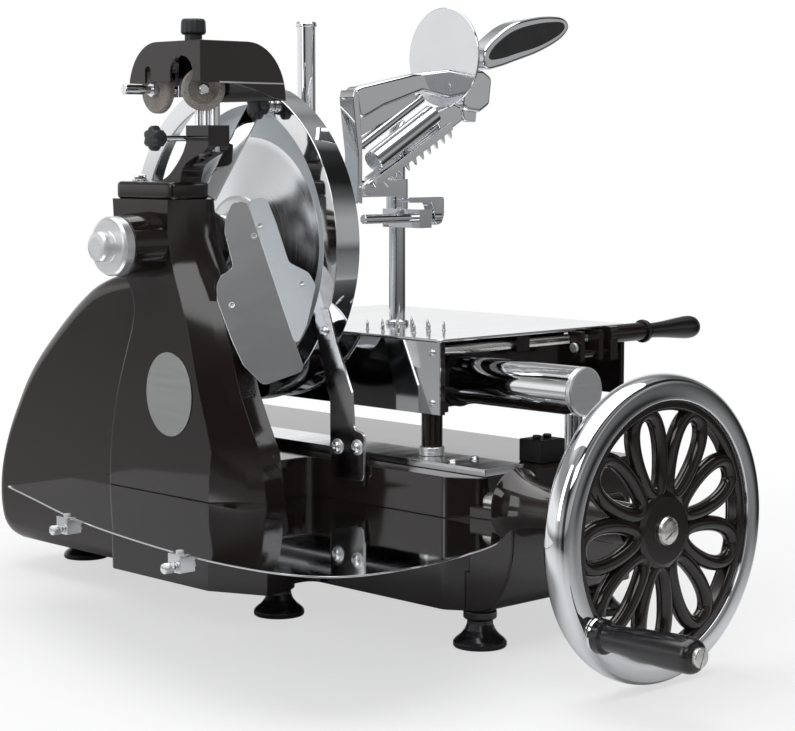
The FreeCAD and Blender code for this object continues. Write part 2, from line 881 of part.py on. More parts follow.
def wheel_rim():
    inner = wheel_radius - rim_width
    centre = Vector(wheel_x, wheel_front, wheel_z)
    rim = sleeve(centre, Y_AXIS, wheel_radius, inner, rim_depth)
    rim = rounded_edges(rim, rim_rounding, lambda e: edge_radius(e) > wheel_radius - 1)
    rim = rounded_edges(rim, rim_inner_rounding,
                        lambda e: edge_radius(e) < inner + 1 and full_circle(e))
    pin_hole = rod(wheel_point(crank_radius, crank_angle, wheel_front - 1), Y_AXIS,
                   crank_pin_radius, rim_depth + 2)
    return rim.cut(pin_hole)


def full_circle(edge):
    return isinstance(edge.Curve, Part.Circle)


def edge_radius(edge):
    return edge.Curve.Radius if full_circle(edge) else 0.0


def petal_face(angle, y, inset):
    """One long oval of four arcs, its long axis pointing away from the hub."""
    middle = (petal_inner + petal_outer) / 2
    half_length = (petal_outer - petal_inner) / 2
    centre = wheel_point(middle, angle, y)
    dx, dz = polar(1.0, angle)
    along = Vector(dx, 0, dz)
    across = along.cross(Y_AXIS)
    end_offset = half_length - petal_end_radius
    side_radius = (end_offset ** 2 + petal_half_width ** 2 - petal_end_radius ** 2) \
        / (2 * (petal_half_width - petal_end_radius))
    side_offset = side_radius - petal_half_width
    lean = math.atan2(side_offset, end_offset)
    reach = petal_end_radius - inset

    def corner(end, side):
        from_end = along * (end * reach * math.cos(lean)) + across * (side * reach * math.sin(lean))
        return centre + along * (end * end_offset) + from_end
    tip = along * (half_length - inset)
    flank = across * (petal_half_width - inset)
    arcs = [Part.Arc(corner(1, -1), centre + tip, corner(1, 1)),
            Part.Arc(corner(1, 1), centre + flank, corner(-1, 1)),
            Part.Arc(corner(-1, 1), centre - tip, corner(-1, -1)),
            Part.Arc(corner(-1, -1), centre - flank, corner(1, -1))]
    return Part.Face(Part.Wire([arc.toShape() for arc in arcs]))


def petal_loop(angle, y):
    deep = Vector(0, spider_thickness, 0)
    outer = petal_face(angle, y, 0).extrude(deep)
    return outer.cut(petal_face(angle, y, petal_band).extrude(deep))


def wheel_spider():
    y = wheel_front + spider_inset
    rim_inner = wheel_radius - rim_width
    flange = sleeve(Vector(wheel_x, y, wheel_z), Y_AXIS, rim_inner, rim_inner - spider_flange,
                    spider_thickness)
    hub = rod(Vector(wheel_x, wheel_front - hub_proud, wheel_z), Y_AXIS, hub_radius,
              hub_depth)
    petals = [petal_loop(petal_phase + 360.0 * i / petal_count, y) for i in range(petal_count)]
    spider = fused(flange, hub, *petals)
    bore = rod(Vector(wheel_x, wheel_front - 40, wheel_z), Y_AXIS, wheel_shaft_radius, 100)
    return spider.cut(bore)


def wheel_shaft():
    start = wheel_front - hub_proud
    shoulder = cross_y - gear_radius - gear_hub_length
    end = cross_y - gear_radius * gear_face_share
    body = rod(Vector(wheel_x, start, wheel_z), Y_AXIS, wheel_shaft_radius, shoulder - start)
    seat = rod(Vector(wheel_x, start, wheel_z), Y_AXIS, gear_seat_radius, end - start)
    return fused(body, seat)


def hub_screw():
    outline = ((0, -hub_screw_dome), (hub_screw_radius * 0.6, -hub_screw_dome * 0.8),
               (hub_screw_radius, -2.0), (hub_screw_radius, 0), (0, 0))
    dome = turned(outline, Vector(wheel_x, wheel_front - hub_proud, wheel_z), Y_AXIS)
    half_slot = screw_slot_width / 2
    slot = box(wheel_x - half_slot, wheel_x + half_slot, wheel_front - 14, wheel_front - 9,
               wheel_z - hub_screw_radius, wheel_z + hub_screw_radius)
    return dome.cut(slot)


def crank_pin():
    start = wheel_front - grip_length - 2 * sliding_gap
    place = wheel_point(crank_radius, crank_angle, start)
    pin = rod(place, Y_AXIS, crank_pin_radius, wheel_front + rim_depth - start)
    head = rod(place, Y_AXIS * -1, crank_head_radius, crank_head_thickness)
    return fused(pin, head)


def crank_grip():
    length = grip_length
    bore = crank_pin_radius + running_fit
    outline = ((bore, 0), (10.0, 0), (12.5, length * 0.04), (grip_swell_radius, length * 0.25),
               (grip_swell_radius, length * 0.45), (grip_waist_radius, length * 0.84),
               (grip_waist_radius, length * 0.9), (grip_flange_radius, length * 0.92),
               (grip_flange_radius, length), (bore, length))
    place = wheel_point(crank_radius, crank_angle, wheel_front - length - sliding_gap)
    return turned(outline, place, Y_AXIS)


def wheel_bushes():
    inner = wheel_shaft_radius + running_fit
    front = sleeve(Vector(wheel_x, snout_front, wheel_z), Y_AXIS, bush_radius, inner,
                   bush_length)
    back = sleeve(Vector(wheel_x, web_y, wheel_z), Y_AXIS, bush_radius, inner, web_thickness)
    cross = sleeve(Vector(column_right - column_wall - 1, cross_y, wheel_z), X_AXIS,
                   cross_bush_radius, cross_shaft_radius + running_fit, column_wall + 2)
    return front, back, cross


# Slide tube, rail, stop block

def slide_tube():
    start = Vector(tube_x, tube_front + tube_cap_thickness, tube_z)
    length = tube_back - tube_front - tube_cap_thickness
    return sleeve(start, Y_AXIS, tube_radius, tube_radius - tube_wall, length)


def tube_cap():
    t = tube_cap_thickness
    outline = ((0, 0), (tube_radius - tube_cap_chamfer, 0), (tube_radius, t - 1),
               (tube_radius, t), (0, t))
    disc = turned(outline, Vector(tube_x, tube_front, tube_z), Y_AXIS)
    spigot = rod(Vector(tube_x, tube_front + t, tube_z), Y_AXIS, tube_radius - tube_wall,
                 tube_spigot)
    return fused(disc, spigot)


def tube_supports():
    front = rod(Vector(tube_x, post_y, apron_top), Z_AXIS, post_radius,
                tube_z - apron_top)
    front = front.cut(rod(Vector(tube_x, tube_front - 5, tube_z), Y_AXIS, tube_radius, 50))
    r = saddle_radius
    saddle_front = tube_back - saddle_width
    back = box(tube_x - r, tube_x + r, saddle_front, tube_back, bed_top, tube_z + 2 * saddle_lift)
    saddle = rod(Vector(tube_x, saddle_front, tube_z + saddle_lift), Y_AXIS, r, saddle_width)
    back = back.fuse(saddle)
    back = back.cut(rod(Vector(tube_x, saddle_front - 1, tube_z), Y_AXIS, tube_radius,
                        saddle_width + 2))
    return front, back.removeSplitter()


def guide_rail():
    return box(rail_left, rail_right, rail_front, rail_back, bed_top, bed_top + rail_height)


def stop_block():
    top = bed_top + stop_height
    block = box(stop_left, stop_right, stop_front, stop_back, bed_top, top)
    middle = (stop_front + stop_back) / 2
    bolts = [rod(Vector(x, middle, top), Z_AXIS, stop_bolt_radius, stop_bolt_height)
             for x in stop_bolts_x]
    return [block] + bolts


# Carriage

def carriage_body():
    top = table_top - table_thickness - sliding_gap
    outer = box(carriage_left, carriage_right, carriage_front, carriage_back, carriage_bottom,
                top)
    t = carriage_wall
    hollow = box(carriage_left + t, carriage_right - t, carriage_front, carriage_back - t,
                 carriage_bottom, top)
    frame = outer.cut(hollow)
    for y in (bulkhead_front_y, bulkhead_back_y):
        frame = frame.fuse(box(carriage_left + t, carriage_right - t, y,
                               y + bulkhead_thickness, carriage_bottom, top - guide_drop))
        frame = frame.fuse(rod(Vector(tube_x, y, tube_z), Y_AXIS,
                               tube_radius + bush_wall + 0.01, bulkhead_thickness))
    rail_top = table_top - table_thickness - guide_drop - sliding_gap
    for y in (guide_front_y, guide_back_y):
        frame = frame.fuse(box(carriage_left + t, carriage_right - t, y - ledge_overhang,
                               y + guide_width + ledge_overhang, rail_top - ledge_height,
                               rail_top))
    frame = frame.fuse(box(carriage_left + t, roller_x + roller_seat_half,
                           roller_y - roller_seat_half, bulkhead_front_y, carriage_bottom,
                           carriage_bottom + roller_seat_height))
    for y in (guide_front_y, guide_back_y):
        frame = frame.cut(box(carriage_right - t - 1, carriage_right + 1, y - sliding_gap,
                              y + guide_width + sliding_gap, rail_top, top + 1))
    frame = frame.cut(rod(Vector(tube_x, carriage_front - 1, tube_z), Y_AXIS,
                          tube_radius + bush_wall, carriage_back - carriage_front + 2))
    feed_bore = rod(Vector(carriage_left - 1, feed_y, feed_z), X_AXIS,
                    feed_radius + running_fit, carriage_right - carriage_left + 2)
    return frame.cut(feed_bore).removeSplitter()


def carriage_bushes():
    rings = []
    for y in (bulkhead_front_y, bulkhead_back_y):
        rings.append(sleeve(Vector(tube_x, y - 2, tube_z), Y_AXIS, tube_radius + bush_wall,
                            tube_radius + running_fit, bulkhead_thickness + 4))
    return rings


def carriage_panel():
    top = table_top - table_thickness - sliding_gap
    return box(carriage_left - panel_thickness, carriage_left, carriage_front, carriage_back,
               carriage_bottom, top)


def guide_roller():
    """The post under the carriage corner and the bearing ring that runs along the rail."""
    bottom = bed_top + rail_height + sliding_gap
    post = rod(Vector(roller_x, roller_y, bottom + roller_ring_height + sliding_gap), Z_AXIS,
               roller_radius - 2, carriage_bottom - bottom - roller_ring_height - sliding_gap)
    pin = rod(Vector(roller_x, roller_y, bottom), Z_AXIS, roller_pin_radius,
              roller_ring_height + 1)
    return fused(post, pin)


def roller_ring():
    bottom = bed_top + rail_height + sliding_gap
    return sleeve(Vector(roller_x, roller_y, bottom), Z_AXIS, roller_radius,
                  roller_pin_radius + running_fit, roller_ring_height)


# Meat table, spikes, posts, feed

def meat_table():
    plate = box(table_left, carriage_right, table_front, carriage_back,
                table_top - table_thickness, table_top)
    under = table_top - table_thickness
    for y in (guide_front_y, guide_back_y):
        plate = plate.fuse(box(carriage_left + guide_inset, carriage_right - guide_inset, y,
                               y + guide_width, under - guide_drop, under))
    nut = box(feed_nut_left, feed_nut_left + feed_nut_width, feed_y - feed_nut_half,
              feed_y + feed_nut_half, feed_z - feed_nut_drop, under)
    ears = []
    for x in (ear_left, ear_left + ear_gap):
        ears.append(box(x, x + ear_width, lever_pivot_y - ear_reach, table_front,
                        table_top - ear_drop, table_top))
    plate = fused(plate, nut, *ears)
    plate = plate.cut(rod(Vector(ear_left - 1, lever_pivot_y, lever_pivot_z), X_AXIS,
                          lever_pin_radius + running_fit, ear_gap + ear_width + 2))
    return plate.cut(rod(Vector(feed_nut_left - 1, feed_y, feed_z), X_AXIS,
                         feed_radius + running_fit, feed_nut_width + 2))


def table_spikes():
    spikes = []
    for row, y in enumerate(spike_rows):
        for column in range(spike_columns):
            x = spike_left + spike_pitch * column + spike_stagger * row
            spikes.append(cone(Vector(x, y, table_top), Z_AXIS, spike_radius, spike_tip_radius,
                               spike_height))
    return spikes


def main_post():
    base = rod(Vector(post_x, main_post_y, table_top), Z_AXIS,
               main_post_radius + post_foot_margin, post_foot_height)
    shaft = rod(Vector(post_x, main_post_y, table_top), Z_AXIS, main_post_radius,
                main_post_top - table_top)
    return fused(base, shaft)


def rear_post():
    base = rod(Vector(post_x, rear_post_y, table_top), Z_AXIS,
               rear_post_radius + post_foot_margin, post_foot_height)
    shaft = rod(Vector(post_x, rear_post_y, table_top), Z_AXIS, rear_post_radius,
                rear_post_top - table_top - post_cap_height + 2)
    cap = cone(Vector(post_x, rear_post_y, rear_post_top - post_cap_height), Z_AXIS,
               rear_post_radius + post_cap_overhang, rear_post_radius - 2 * post_cap_overhang,
               post_cap_height)
    return fused(base, shaft, cap)


def feed_screw():
    start = carriage_left + 1.0
    shaft = rod(Vector(start, feed_y, feed_z), X_AXIS, feed_radius,
                carriage_right + sliding_gap - start)
    cap = rod(Vector(carriage_right + sliding_gap, feed_y, feed_z), X_AXIS, feed_cap_radius,
              feed_cap_length)
    return fused(shaft, cap)


def feed_lever():
    """The cranked arm that is pinned between two ears on the table's front edge."""
    grip_z = lever_pivot_z + lever_rise
    x = lever_x
    pin = rod(Vector(ear_left - lever_pin_end, lever_pivot_y, lever_pivot_z), X_AXIS,
              lever_pin_radius, x - ear_left + lever_pin_end + 1)
    plate = box(x, x + lever_arm_width, lever_pivot_y - lever_arm_half,
                lever_pivot_y + lever_arm_back, lever_pivot_z - 2 * lever_pin_radius,
                grip_z + lever_arm_half)
    tube = rod(Vector(x, lever_pivot_y, grip_z), X_AXIS, lever_sleeve_radius,
               lever_arm_width + lever_sleeve_length)
    spindle_length = lever_arm_width + lever_sleeve_length + feed_grip_length - 4
    spindle = rod(Vector(x, lever_pivot_y, grip_z), X_AXIS, lever_pin_radius, spindle_length)
    return fused(pin, plate, tube, spindle)


def feed_grip():
    length = feed_grip_length
    r = feed_grip_radius
    bore = lever_pin_radius + running_fit
    outline = ((bore, 0), (r, 0), (r, 5), (r * 0.62, 9), (r * 0.78, length * 0.5),
               (r, length * 0.82), (r * 0.86, length * 0.95), (r * 0.5, length),
               (0, length), (0, length - 3), (bore, length - 3))
    x = lever_x + lever_arm_width + lever_sleeve_length + sliding_gap
    place = Vector(x, lever_pivot_y, lever_pivot_z + lever_rise)
    return turned(outline, place, X_AXIS)


# Press

def press_slider():
    """The sleeve on the main post with the arm that holds the press pivot."""
    tall = slider_top - slider_bottom
    ring = rod(Vector(post_x, main_post_y, slider_bottom), Z_AXIS, slider_radius, tall)
    back_face = press_y + press_width / 2 + sliding_gap
    arm = box(press_pivot_x - pivot_arm_end, post_x, back_face,
              back_face + pivot_arm_thickness, press_pivot_z - pivot_arm_half,
              press_pivot_z + pivot_arm_half)
    pin = rod(Vector(press_pivot_x, press_y - press_width / 2 - 5, press_pivot_z), Y_AXIS,
              press_pin_radius, press_width + 10)
    rod_block = box(rod_block_left, rod_block_right, rod_block_front, main_post_y,
                    slider_bottom, rod_block_top)
    body = fused(ring, arm, pin, rod_block)
    body = body.cut(box(post_x - slider_radius, post_x + slider_radius,
                        main_post_y - slider_radius - 1, back_face, rod_block_top,
                        slider_top + 1))
    body = body.cut(rod(Vector(post_x, main_post_y, slider_bottom - 1), Z_AXIS,
                        main_post_radius + running_fit, tall + 2))
    return body.cut(rod(Vector(0, clamp_rod_y, clamp_rod_z), X_AXIS,
                        clamp_rod_radius + running_fit, 200))


def clamp_lever():
    right = clamp_arm_left + clamp_arm_width
    front = clamp_rod_y - clamp_arm_half
    back = clamp_rod_y + clamp_arm_half
    axle = rod(Vector(clamp_rod_left, clamp_rod_y, clamp_rod_z), X_AXIS, clamp_rod_radius,
               right - clamp_rod_left)
    nut = rod(Vector(rod_block_right + sliding_gap, clamp_rod_y, clamp_rod_z), X_AXIS,
              clamp_nut_radius, clamp_nut_width)
    lever = box(clamp_arm_left, right, front, back, clamp_rod_z - clamp_arm_drop, paddle_top)
    paddle = box(paddle_left, right, front, back, paddle_bottom, paddle_top)
    return fused(axle, nut, lever, paddle)


def press_arm():
    half = press_width / 2
    arm = prism_y(press_arm_outline, press_y - half, press_y + half)
    bore = rod(Vector(press_pivot_x, press_y - half - 1, press_pivot_z), Y_AXIS,
               press_pin_radius + running_fit, press_width + 2)
    return arm.cut(bore)


def gripper():
    """The toothed bar below the press arm, with its link up to the arm."""
    along = gripper_end - gripper_start
    length = along.Length
    along.normalize()
    down = Vector(along.z, 0, -along.x)
    half = press_width / 2 - 1
    side = Vector(0, press_y - half, 0)

    def at(distance, drop):
        place = gripper_start + along * distance + down * drop + side
        return place
    outline = [at(0, 0), at(length, 0), at(length, gripper_drop), at(0, gripper_drop)]
    barrel = Part.Face(Part.makePolygon(outline + [outline[0]]))
    barrel = barrel.extrude(Vector(0, 2 * half, 0))
    spikes = []
    step = length / (tooth_count + 1)
    for i in range(tooth_count):
        middle = step * (i + 1.5)
        tooth = [at(middle - tooth_half, gripper_drop - 0.5),
                 at(middle + tooth_half, gripper_drop - 0.5),
                 at(middle, gripper_drop + tooth_length)]
        for row in (Vector(0, 0, 0), Vector(0, 2 * half - tooth_thickness, 0)):
            corners = [p + row for p in tooth]
            spike = Part.Face(Part.makePolygon(corners + [corners[0]]))
            spikes.append(spike.extrude(Vector(0, tooth_thickness, 0)))
    whole = fused(barrel, *spikes)
    return whole.cut(prism_y(press_arm_outline, press_y - half - 2, press_y + half + 2))


def press_handle():
    return prism_y(paddle_outline, press_y - handle_half, press_y + handle_half)


def hand_guard():
    disc = rod(Vector(disc_x, press_y, disc_z), X_AXIS, disc_radius, disc_thickness)
    half = press_width / 2 + disc_slot_gap
    return disc.cut(prism_y(press_arm_outline, press_y - half, press_y + half))


# Sharpener

def sharpener_hood():
    flat_end = hood_right - hood_slope_run
    bend_x = hood_right - hood_bend_run
    bend_z = hood_top - hood_bend_drop
    slope_end = hood_top - hood_slope_drop
    outline = ((hood_left, hood_bottom), (hood_left, hood_top), (flat_end, hood_top),
               (bend_x, bend_z), (hood_right, slope_end),
               (hood_right, hood_bottom - hood_lip), (hood_right - hood_lip, hood_bottom))
    outer = prism_y(outline, hood_front, hood_back)
    t = hood_wall
    below = hood_bottom - hood_lip - 1
    inner_outline = ((hood_left + t, below), (hood_left + t, hood_top - t),
                     (flat_end - t / 2, hood_top - t), (bend_x - t, bend_z - t / 2),
                     (hood_right - t, slope_end), (hood_right - t, below))
    inner = prism_y(inner_outline, hood_front + t, hood_back - t)
    shell = outer.cut(inner)
    arch = rod(Vector(hood_left - 1, arch_y, arch_spring), X_AXIS, arch_radius, t + 2)
    arch = arch.fuse(box(hood_left - 1, hood_left + t + 1, arch_y - arch_radius,
                         arch_y + arch_radius, hood_bottom - 1, arch_spring))
    slot = box(hood_left - 1, hood_left + t + 1, hood_slot_front, hood_slot_back,
               hood_slot_bottom, hood_slot_top)
    shell = shell.cut(arch).cut(slot)
    block = box(sharp_x - hood_block_half_x, sharp_x + hood_block_half_x,
                sharp_y - hood_block_half_y, sharp_y + hood_block_half_y,
                hood_bottom + hood_block_lift, hood_top - t)
    shell = fused(shell, block)
    for y in rod_places():
        shell = shell.cut(rod(Vector(sharp_x, y, hood_bottom), Z_AXIS, rod_radius, 40))
    return shell.removeSplitter()


def sharpener_rods():
    low = neck_block_bottom + 6
    rods = []
    for y in rod_places():
        rods.append(rod(Vector(sharp_x, y, low), Z_AXIS, rod_radius, hood_bottom + 40 - low))
    return rods


def rod_places():
    return sharp_y - rod_spacing, sharp_y, sharp_y + rod_spacing


def spindles():
    """Two short axles that hang from the hood block and carry the stones."""
    arm_bottom = stone_z - spindle_arm
    arm_top = hood_bottom + 24
    block_left = sharp_x - hood_block_half_x
    first = rod(Vector(hood_left + 6, grinding_y, stone_z), X_AXIS, spindle_radius,
                block_left - hood_left)
    arm_1 = box(block_left, block_left + spindle_arm, sharp_y + hood_block_half_y,
                grinding_y + spindle_arm, arm_bottom, arm_top)
    stone = Vector(honing_x, honing_y, stone_z)
    second = rod(stone - honing_axis * honing_spindle_back, honing_axis, spindle_radius,
                 honing_spindle_length)
    arm_2 = box(block_left - spindle_arm, block_left, sharp_y - hood_block_half_y,
                sharp_y - hood_block_half_y + 9, arm_bottom, arm_top)
    return fused(first, arm_1), fused(second, arm_2)


def grinding_stone():
    return sleeve(Vector(hood_left + 12, grinding_y, stone_z), X_AXIS, stone_radius,
                  spindle_radius + running_fit, stone_thickness)


def honing_stone():
    return sleeve(Vector(honing_x, honing_y, stone_z), honing_axis, stone_radius - 2,
                  spindle_radius + running_fit, stone_thickness)


def top_knob():
    start = Vector(knob_x, sharp_y, hood_top + sliding_gap)
    collar = rod(start, Z_AXIS, 9.0, 8.0)
    head = rod(start + Z_AXIS * 8, Z_AXIS, knob_radius, knob_height - 4)
    return fused(collar, head)


def lock_knob():
    start = Vector(neck_left - lock_stud_reach, lock_stud_y, lock_stud_z)
    head = star_knob(start - X_AXIS * star_length, X_AXIS, star_radius - 2, star_length)
    stud = rod(start - X_AXIS, X_AXIS, stud_radius, lock_stud_length)
    return fused(head, stud)


def guard_knob():
    start = Vector(guard_left - star_collar_length, clamp_y, clamp_z)
    head = star_knob(start - X_AXIS * star_length, X_AXIS, star_radius, star_length)
    stud = rod(start - X_AXIS, X_AXIS, stud_radius, guard_stud_length)
    collar = rod(start - X_AXIS, X_AXIS, star_collar_radius,
                 star_collar_length + 1 - sliding_gap)
    return fused(head, collar, stud)


# Slice tray

def slice_tray():
    return prism_z(tray_outline, tray_top - tray_thickness, tray_top)


def tray_arms():
    top = tray_top - tray_thickness
    arms = []
    roots = ((column_left, -60.0), (column_left, -120.0))
    for (x, y), (root_x, root_y) in zip(clip_places, roots):
        start = Vector(root_x, root_y, top - arm_thickness / 2)
        end = Vector(x - 6, y, top - arm_thickness / 2)
        half = arm_width / 2
        corners = ((root_x, root_y - half), (root_x, root_y + half),
                   (end.x, end.y + half), (end.x, end.y - half))
        arm = prism_z(corners, top - arm_thickness, top)
        clip = box(x - clip_outer, x + clip_inner, y - clip_half, y + clip_half,
                   top - clip_height, top)
        bore = rod(Vector(x - 30, y, top - clip_screw_drop), X_AXIS,
                   stud_radius + running_fit, 60)
        arms.append(fused(arm, clip).cut(bore))
    return arms


def tray_screw(place):
    x, y = place
    z = tray_top - tray_thickness - clip_screw_drop
    head_length = tray_screw_reach - clip_outer - 1
    head = rod(Vector(x - tray_screw_reach, y, z), X_AXIS, tray_screw_radius, head_length)
    stud = rod(Vector(x - clip_outer - 2, y, z), X_AXIS, stud_radius, tray_stud_length)
    return fused(head, stud)


def badge_plate():
    centre = Vector(column_left, badge_y, badge_z)
    curve = Part.Ellipse(centre + Z_AXIS * (badge_height / 2),
                         centre + Y_AXIS * (badge_width / 2), centre)
    face = Part.Face(Part.Wire(curve.toShape()))
    return face.extrude(Vector(-badge_thickness, 0, 0))


def bearing_cap():
    x = housing_left
    outline = ((0, 0), (cap_radius, 0), (cap_radius, -cap_thickness),
               (cap_hub_radius, -cap_thickness), (cap_hub_radius, -cap_thickness - cap_hub_length),
               (0, -cap_thickness - cap_hub_length))
    return turned(outline, Vector(x, 0, 0), X_AXIS)


def blade_shaft():
    start = housing_left + 2
    return rod(Vector(start, 0, 0), X_AXIS, blade_shaft_radius, -dish_depth - start + 6)


def blade_bearings():
    inner = blade_shaft_radius + running_fit
    left = sleeve(Vector(housing_left + 2, 0, 0), X_AXIS, blade_bearing_radius, inner,
                  blade_bearing_width)
    right = sleeve(Vector(boss_right - blade_bearing_width - 2, 0, 0), X_AXIS,
                   blade_bearing_radius, inner, blade_bearing_width)
    return left, right


def cross_shaft():
    start = column_left + column_wall + 3
    shoulder = wheel_x - gear_radius - gear_hub_length
    end = wheel_x - gear_radius * gear_face_share
    body = rod(Vector(start, cross_y, wheel_z), X_AXIS, cross_shaft_radius, shoulder - start)
    seat = rod(Vector(start, cross_y, wheel_z), X_AXIS, gear_seat_radius, end - start)
    return fused(body, seat)


def frame_screws():
    screws = []
    for y in (strap_y - strap_screw_spread, strap_y + strap_screw_spread):
        place = Vector(guard_left - strap_thickness, y, bed_top - strap_screw_spread)
        screws.append(rod(place, X_AXIS * -1, screw_head_radius, screw_head_height))
    neck_bolt = Vector(neck_bolt_x, neck_bolt_y, head_top + shoulder_height)
    screws.append(rod(neck_bolt, Z_AXIS, neck_bolt_radius, neck_bolt_height))
    return screws


os.makedirs("parts", exist_ok=True)
footprint_left = min(x for x, y in clip_places) - tray_screw_reach
grip_end = lever_x + lever_arm_width + lever_sleeve_length + feed_grip_length + sliding_gap
wheel_nose = wheel_front - grip_length - 2 * sliding_gap - crank_head_thickness
origin_shift = Vector(-(footprint_left + grip_end) / 2, -(wheel_nose + bed_back) / 2,
                      axis_height)

save("base_casting", base_casting())
save("column_casting", column_casting())
save("neck_arm", neck_arm())
save("feet", *[foot(x, y) for x, y in foot_places])
save("badge_plate", badge_plate())
save("bearing_cap", bearing_cap())
save("blade_bearings", *blade_bearings())
save("blade_shaft", blade_shaft())
save("blade", blade())
save("blade_hub", blade_hub())
save("hub_screws", *hub_screws())
save("blade_sprocket", sprocket(small_sprocket_teeth, 0.0, 0.0, blade_shaft_radius))
save("cross_shaft", cross_shaft())
save("cross_gear", cross_gear())
save("cross_sprocket", sprocket(big_sprocket_teeth, cross_y, wheel_z, cross_shaft_radius))
save("drive_chain", drive_chain())
save("drive_gear", drive_gear())
save("wheel_shaft", wheel_shaft())
save("wheel_bushes", *wheel_bushes())
save("wheel_rim", wheel_rim())
save("wheel_spider", wheel_spider())
save("hub_screw", hub_screw())
save("crank_pin", crank_pin())
save("crank_grip", crank_grip())
save("guard_ring", guard_ring())
save("guard_strap", guard_strap())
save("guard_stay", guard_stay())
save("guard_knob", guard_knob())
save("deflector_plates", deflector_wing(), deflector_chute())
save("slide_tube", slide_tube(), tube_cap())
save("tube_supports", *tube_supports())
save("guide_rail", guide_rail())
save("stop_block", *stop_block())
save("carriage_body", carriage_body())
save("carriage_bushes", *carriage_bushes())
save("carriage_panel", carriage_panel())
save("guide_roller", guide_roller(), roller_ring())
save("meat_table", meat_table())
save("table_spikes", *table_spikes())
save("table_posts", main_post(), rear_post())
save("feed_screw", feed_screw())
save("feed_lever", feed_lever())
save("feed_grip", feed_grip())
save("press_slider", press_slider())
save("clamp_lever", clamp_lever())
save("press_arm", press_arm())
save("gripper", gripper())
save("press_handle", press_handle())
save("hand_guard", hand_guard())
save("sharpener_hood", sharpener_hood())
save("sharpener_rods", *sharpener_rods(), *spindles())
save("grinding_stone", grinding_stone())
save("honing_stone", honing_stone())
save("top_knob", top_knob())
save("lock_knob", lock_knob())
save("slice_tray", slice_tray())
save("tray_arms", *tray_arms())
save("tray_screw_rear", tray_screw(clip_places[0]))
save("tray_screw_front", tray_screw(clip_places[1]))
save("frame_screws", *frame_screws())

whole = FreeCAD.BoundBox()
for piece_box in boxes:
    whole.add(piece_box)
print("size", round(whole.XLength, 1), round(whole.YLength, 1), round(whole.ZLength, 1))
print("centre", round(whole.Center.x, 1), round(whole.Center.y, 1), "floor", round(whole.ZMin, 2))
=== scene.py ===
"""Looks of a hand crank meat slicer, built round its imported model."""

import json
import math

import bmesh
import bpy
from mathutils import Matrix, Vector

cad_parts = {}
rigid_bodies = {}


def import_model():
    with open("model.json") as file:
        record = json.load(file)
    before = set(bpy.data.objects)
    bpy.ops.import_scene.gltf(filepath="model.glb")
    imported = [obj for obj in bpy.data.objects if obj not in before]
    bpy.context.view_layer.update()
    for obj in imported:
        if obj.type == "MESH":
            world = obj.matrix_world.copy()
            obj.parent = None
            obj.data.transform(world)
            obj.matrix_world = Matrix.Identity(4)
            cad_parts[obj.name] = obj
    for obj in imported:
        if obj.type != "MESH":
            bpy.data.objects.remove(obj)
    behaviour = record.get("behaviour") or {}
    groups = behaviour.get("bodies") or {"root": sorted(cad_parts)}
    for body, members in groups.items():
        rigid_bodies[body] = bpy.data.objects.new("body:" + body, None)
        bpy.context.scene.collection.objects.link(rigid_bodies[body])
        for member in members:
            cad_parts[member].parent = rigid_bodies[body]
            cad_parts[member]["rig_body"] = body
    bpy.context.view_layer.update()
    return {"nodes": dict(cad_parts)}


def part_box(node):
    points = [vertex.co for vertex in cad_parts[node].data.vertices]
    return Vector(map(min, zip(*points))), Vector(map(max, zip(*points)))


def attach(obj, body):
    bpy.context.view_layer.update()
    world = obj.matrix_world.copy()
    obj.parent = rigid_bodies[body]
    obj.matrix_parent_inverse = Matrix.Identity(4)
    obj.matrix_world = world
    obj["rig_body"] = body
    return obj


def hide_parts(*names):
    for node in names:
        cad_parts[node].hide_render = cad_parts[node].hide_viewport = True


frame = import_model()

bl_info = {
    "name": "Hand Crank Meat Slicer",
    "version": (1, 0, 0),
    "blender": (4, 5, 0),
    "location": "View3D > Sidebar > Slicer",
    "description": "Builds the finished look of a flywheel meat slicer, piece by piece",
    "category": "Add Mesh",
}

MM = 0.001
X_AXIS = Vector((1, 0, 0))
Y_AXIS = Vector((0, 1, 0))
Z_AXIS = Vector((0, 0, 1))
SQUARE = ((-1, -1), (1, -1), (1, 1), (-1, 1))
ON_AXIS = 1e-6
NEARLY_STRAIGHT = math.radians(170)

# Places that several pieces share, in millimetres from the middle of the blade's edge
WHEEL_Z = -247.0
TABLE_TOP = -92.0
GUARD_KNOB = (-72.0, 146.0)
FRONT_FEET = ((-5, -352), (199, -332))

# Every material by the short name that the pieces are given
finishes = {}

# The blade's edge plane and centre are the place that all sizes below are counted from.
_blade_low, _blade_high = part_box("blade")
BLADE_CENTRE = Vector((_blade_high.x, (_blade_low.y + _blade_high.y) / 2,
                       (_blade_low.z + _blade_high.z) / 2))


def at(x, y, z):
    """A point that is x, y, z millimetres from the middle of the blade's edge."""
    return BLADE_CENTRE + MM * Vector((x, y, z))


def reach(node):
    """A node's lowest and highest corner in millimetres from the middle of the blade's edge."""
    low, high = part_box(node)
    return (low - BLADE_CENTRE) / MM, (high - BLADE_CENTRE) / MM


def middle(node):
    """The middle of a node's box in millimetres from the middle of the blade's edge."""
    low, high = reach(node)
    return (low + high) / 2


# Outlines

